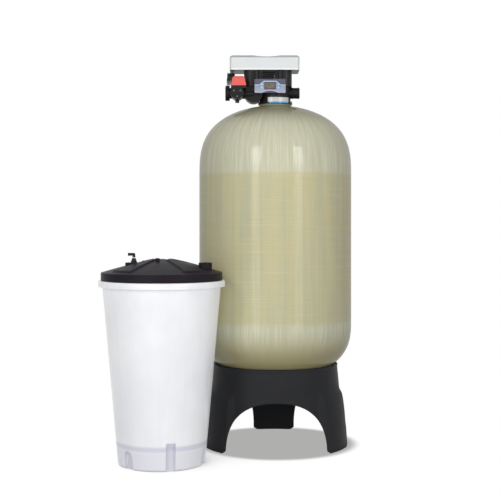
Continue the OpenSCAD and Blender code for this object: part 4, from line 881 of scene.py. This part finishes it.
def cable_route():
    coil = []
    for k in range(int(COIL_TURNS * COIL_STEPS) + 1):
        loop = k / COIL_STEPS
        angle = 2 * math.pi * loop - math.pi / 2
        coil.append((COIL_AT[0] - COIL_PITCH * loop, COIL_AT[1] + COIL_R * math.cos(angle),
                     COIL_AT[2] + COIL_R * math.sin(angle)))
    return [at_valve(*p) for p in CABLE_IN + coil + CABLE_OUT]


def cable():
    route = cable_route()
    curve = bpy.data.curves.new("actuator_cable_coil", "CURVE")
    curve.dimensions = "3D"
    curve.bevel_depth = CABLE_D / 2
    curve.bevel_resolution = 4
    curve.use_fill_caps = True
    spline = curve.splines.new("POLY")
    spline.points.add(len(route) - 1)
    for point, place in zip(spline.points, route):
        point.co = (*place, 1.0)
    spline.use_smooth = True
    piece = bpy.data.objects.new("actuator_cable_coil", curve)
    bpy.context.scene.collection.objects.link(piece)
    jacket = moulded("cable_jacket", paint(14, 14, 16), 0.48, 1400.0, 0.0001)
    curve.materials.append(jacket.material)
    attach(piece, "root")
    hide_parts("actuator_cable")


cable()

# Plain plate round the front of the collar: white with a blue lower edge, its left end cut askew

LABEL_R = 0.1046
LABEL_T = 0.0007
LABEL_FROM, LABEL_TO = math.radians(-116), math.radians(-43)
LABEL_LOW, LABEL_HIGH = 0.003, 0.036
LABEL_BLUE = (0.0118, 0.0092)
LABEL_SLANT = 0.008
LABEL_SLANT_END = 0.08
LABEL_STEPS = 36


def label_film():
    f = Finish("label_film", roughness=0.34, coat_weight=0.3)
    x, y, z = f.place((TANK_X, TANK_Y, NECK_TOP))
    grain = f.noise(x, y, z, 400.0, 2.0)
    white = f.blend(grain, paint(190, 188, 184), paint(201, 200, 197))
    f.set("base color", f.blend(f.step(*LABEL_BLUE, z), white, paint(67, 166, 227)))
    f.set("roughness", 0.28 + 0.12 * grain)
    return f


def label_mesh():
    bm = bmesh.new()
    rows = []
    for k in range(LABEL_STEPS + 1):
        share = k / LABEL_STEPS
        a = LABEL_FROM + (LABEL_TO - LABEL_FROM) * k / LABEL_STEPS
        low = LABEL_LOW + LABEL_SLANT * smooth(LABEL_SLANT_END, 0.0, share)
        outline = ((LABEL_R, low), (LABEL_R, LABEL_HIGH),
                   (LABEL_R + LABEL_T, LABEL_HIGH), (LABEL_R + LABEL_T, low))
        rows.append([bm.verts.new((TANK_X + r * math.cos(a), TANK_Y + r * math.sin(a),
                                   NECK_TOP + z)) for r, z in outline])
    for a, b in zip(rows, rows[1:]):
        for i in range(4):
            bm.faces.new((a[i], b[i], b[(i + 1) % 4], a[(i + 1) % 4]))
    bm.faces.new(rows[0])
    bm.faces.new(rows[-1])
    return finished(bm, "collar_label")


link("collar_label", label_mesh(), label_film(), sharp=30)

# Three screws on the brine valve's front flange, in millimetres from the valve's place

FLANGE_X, FLANGE_FACE, FLANGE_Z = -228, -148.4, 58
SCREW_SPOTS = ((-19, 11), (19, 11), (0, -22))
SCREW_HEAD = [(0, 0.0011, 0), (0.0018, 0.0011, 0.0004), (0.0022, 0.0026, 0.0004),
              (0.0046, 0.0026, 0.0008), (0.0052, 0.0, 0)]


def flange_screws():
    bm = bmesh.new()
    for dx, dz in SCREW_SPOTS:
        def on_flange(x, y, z):
            return at_valve(FLANGE_X + dx + x / MM, FLANGE_FACE - z / MM, FLANGE_Z + dz + y / MM)

        add_lathe(bm, filleted(SCREW_HEAD, 3), None, 24, axis=on_flange)
    return finished(bm, "flange_screws")


link("flange_screws", flange_screws(), metal("screw_steel", (0.20, 0.19, 0.18, 1.0), 0.5),
     sharp=35)

# Finishes of the nodes that show as they are; a plastic has its roughness, grain, depth and mottle

black = moulded("valve_black", paint(26, 25, 25), 0.40, 1000.0, 0.00012, 0.2,
                specular_ior_level=0.2)
finishes = {
    "black_plastic": black,
    "natural_plastic": moulded("natural_liner", paint(223, 225, 223), 0.5),
    "base_plastic": base_moulding(),
    "cover_plastic": cover_moulding(),
    "red_plastic": moulded("actuator_red", paint(221, 96, 89), 0.36, 900.0, 0.00008, 0.06),
    "fascia_film": fascia_print(),
    "console_plastic": moulded("console_slate", paint(47, 48, 59), 0.42, 900.0, 0.0001, 0.1),
    "lens": display_glass(),
    "button_plastic": moulded("key_blue", paint(147, 209, 239), 0.3, 900.0, 0.00005, 0.06),
    "board": moulded("board_green", paint(33, 100, 53), 0.5),
    "steel": metal("plated_steel", (0.62, 0.63, 0.65, 1.0), 0.32),
    "stainless": metal("turned_steel", (0.50, 0.51, 0.52, 1.0), 0.50, (1.0, 1.0, 0.1)),
    "ceramic": moulded("disc_ceramic", paint(239, 238, 225), 0.25, 500.0, 0.00003, 0.03),
    "rubber": moulded("seal_rubber", paint(17, 17, 18), 0.6, 700.0, 0.0002, 0.15),
    "gravel": grains("quartz_gravel", paint(131, 118, 100), paint(213, 200, 180), 160.0),
    "resin": grains("softening_beads", paint(163, 100, 33), paint(223, 161, 68), 900.0),
    "white_plastic": moulded("white_moulding", paint(239, 239, 239), 0.4, 700.0, 0.0001, 0.03),
    "blue_plastic": moulded("strainer_blue", paint(66, 92, 163), 0.45),
    "gear_nylon": moulded("gear_nylon", paint(238, 232, 213), 0.45, 600.0, 0.0001, 0.05),
    "grid_plastic": moulded("grid_lavender", paint(193, 197, 232), 0.45, 600.0, 0.0001, 0.05),
    "float_foam": moulded("float_orange", paint(239, 139, 57), 0.6, 400.0, 0.0003, 0.1),
    "wound_shell": black,
    "brine_poly": black,
    "lid_plastic": black,
    "cable_jacket": black,
}
for row in frame["record"]["subparts"]:
    node = nodes[row["node"]]
    node.data.materials.clear()
    node.data.materials.append(finishes[row["material_slot"]].material)

# Edges of the moulded nodes that show are broken by a small round, in millimetres

ROUNDED = {"dust_cover": 4.0, "actuator_cover": 4.0, "display_housing": 1.2, "fascia": 0.6,
           "valve_body": 1.5, "neck_adapter": 1.5, "outlet_port": 2.0, "inlet_port": 1.5,
           "inlet_union_nut": 1.2, "drain_port": 1.5, "brine_valve_body": 1.5,
           "brine_valve_flange": 1.2, "actuator_base": 1.2, "hose_nipple": 0.8, "gear_deck": 1.0,
           "lid_gland": 0.8, "lid_elbow": 0.8, "cable_gland": 0.6}
for name, width in ROUNDED.items():
    node = nodes[name]
    weld = node.modifiers.new("weld", "WELD")
    weld.merge_threshold = 0.00001
    bevel = node.modifiers.new("bevel", "BEVEL")
    bevel.width = width * MM
    bevel.segments = 3
    bevel.limit_method = "ANGLE"
    bevel.angle_limit = math.radians(32)
    bevel.use_clamp_overlap = True
    bevel.harden_normals = False
    normals = node.modifiers.new("normals", "WEIGHTED_NORMAL")
    normals.keep_sharp = True

# Stage: floor, light and background

SHOWN_TO = ("Is Camera Ray", "Is Glossy Ray", "Is Transmission Ray")
FLOOR_HALF = 60.0
FLOOR_PALE = (0.6, 0.6, 0.6, 1.0)
SHADOW_GREY = 0.43
SHADOW_EDGE = (0.44, 0.52)
WORLD_FILL = 0.085


def floor_paint():
    """To the eye and in reflections the floor is white, with a soft grey shadow close to what stands
    on it; it lights the rest as a pale grey floor would."""
    f = Finish("floor_white", roughness=0.9, base_color=FLOOR_PALE)
    x, y, z = f.place((TANK_X, TANK_Y, 0))
    # painted shadow: the floor greys where little open sky is above it, and in a disc round the
    # pressure tank's axis
    open_sky = f.add("ShaderNodeAmbientOcclusion", {"samples": 16}, {"Distance": 1.0}, "AO")
    under_tank = f.step(*SHADOW_EDGE, (x * x + y * y) ** 0.5)
    lit = f.step(0.16, 0.56, open_sky).least(under_tank)
    white = f.blend(lit, (SHADOW_GREY, SHADOW_GREY, SHADOW_GREY * 0.99, 1.0), WHITE)
    glow = f.add("ShaderNodeEmission", {}, {"Color": white})
    straight, mirrored, through = [f.add("ShaderNodeLightPath", {}, {}, ray) for ray in SHOWN_TO]
    seen = straight.most(mirrored).most(through)
    body = Field(f, f.shader.outputs[0])
    mix = f.add("ShaderNodeMixShader", {}, {0: seen, 1: body, 2: glow})
    f.tree.links.new(mix.socket, f.tree.nodes["Material Output"].inputs["Surface"])
    return f


bm = bmesh.new()
bmesh.ops.create_grid(bm, x_segments=4, y_segments=4, size=FLOOR_HALF)
floor_mesh = bpy.data.meshes.new("floor")
bm.to_mesh(floor_mesh)
bm.free()
floor = bpy.data.objects.new("floor", floor_mesh)
bpy.context.scene.collection.objects.link(floor)
floor.data.materials.append(floor_paint().material)


def studio_world(fill):
    """White to the eye and in reflections, and a weak even fill as a light."""
    world = bpy.data.worlds.new("studio")
    world.use_nodes = True
    bpy.context.scene.world = world
    tree = world.node_tree
    sky = tree.nodes["Background"]
    sky.inputs["Color"].default_value = WHITE
    path = tree.nodes.new("ShaderNodeLightPath")
    shown = path.outputs[SHOWN_TO[0]]
    for ray in SHOWN_TO[1:]:
        either = tree.nodes.new("ShaderNodeMath")
        either.operation = "MAXIMUM"
        tree.links.new(shown, either.inputs[0])
        tree.links.new(path.outputs[ray], either.inputs[1])
        shown = either.outputs[0]
    level = tree.nodes.new("ShaderNodeMapRange")
    level.inputs["To Min"].default_value = fill
    tree.links.new(shown, level.inputs["Value"])
    tree.links.new(level.outputs["Result"], sky.inputs["Strength"])


studio_world(WORLD_FILL)


def softbox(name, place, aim, size, power, mirrored=True):
    """A lamp of a width and height in metres; one that isn't mirrored leaves no highlight."""
    data = bpy.data.lights.new(name, "AREA")
    data.shape = "RECTANGLE"
    data.size, data.size_y = size
    data.energy = power
    lamp = bpy.data.objects.new(name, data)
    bpy.context.scene.collection.objects.link(lamp)
    lamp.location = place
    lamp.rotation_euler = (Vector(aim) - Vector(place)).to_track_quat("-Z", "Y").to_euler()
    lamp.visible_glossy = mirrored


def round_tank(angle, reach, z):
    """A place at an angle from the front of the pressure tank, seen from above, and a distance from
    its axis."""
    a = math.radians(angle)
    return TANK_X + reach * math.sin(a), TANK_Y - reach * math.cos(a), z


# Two tall softboxes stand in front, left and right, each over a dimmer strip; weaker lamps fill from
# the left, from the camera and from above
KEY_REACH = 4.2
KEY_TURNS = (("left", -28.5), ("right", 32.0))
FILL_TURN = -52
for side, angle in KEY_TURNS:
    softbox("key_" + side, round_tank(angle, KEY_REACH, 2.75), round_tank(angle, 0, 2.3),
            (1.0, 1.6), 45)
    softbox("strip_" + side, round_tank(angle, KEY_REACH, 1.05), round_tank(angle, 0, 1.05),
            (0.8, 1.8), 12)
softbox("left_fill", round_tank(FILL_TURN, 4.0, 2.5), round_tank(FILL_TURN, 0, 1.2), (2.0, 2.0), 6,
        mirrored=False)
softbox("front_fill", (0.1, -7.0, 1.5), (0.1, 0.0, 1.0), (4.0, 3.0), 165, mirrored=False)
softbox("overhead", (0.1, -0.6, 4.6), (0.1, 0.0, 0.0), (3.0, 2.6), 15, mirrored=False)
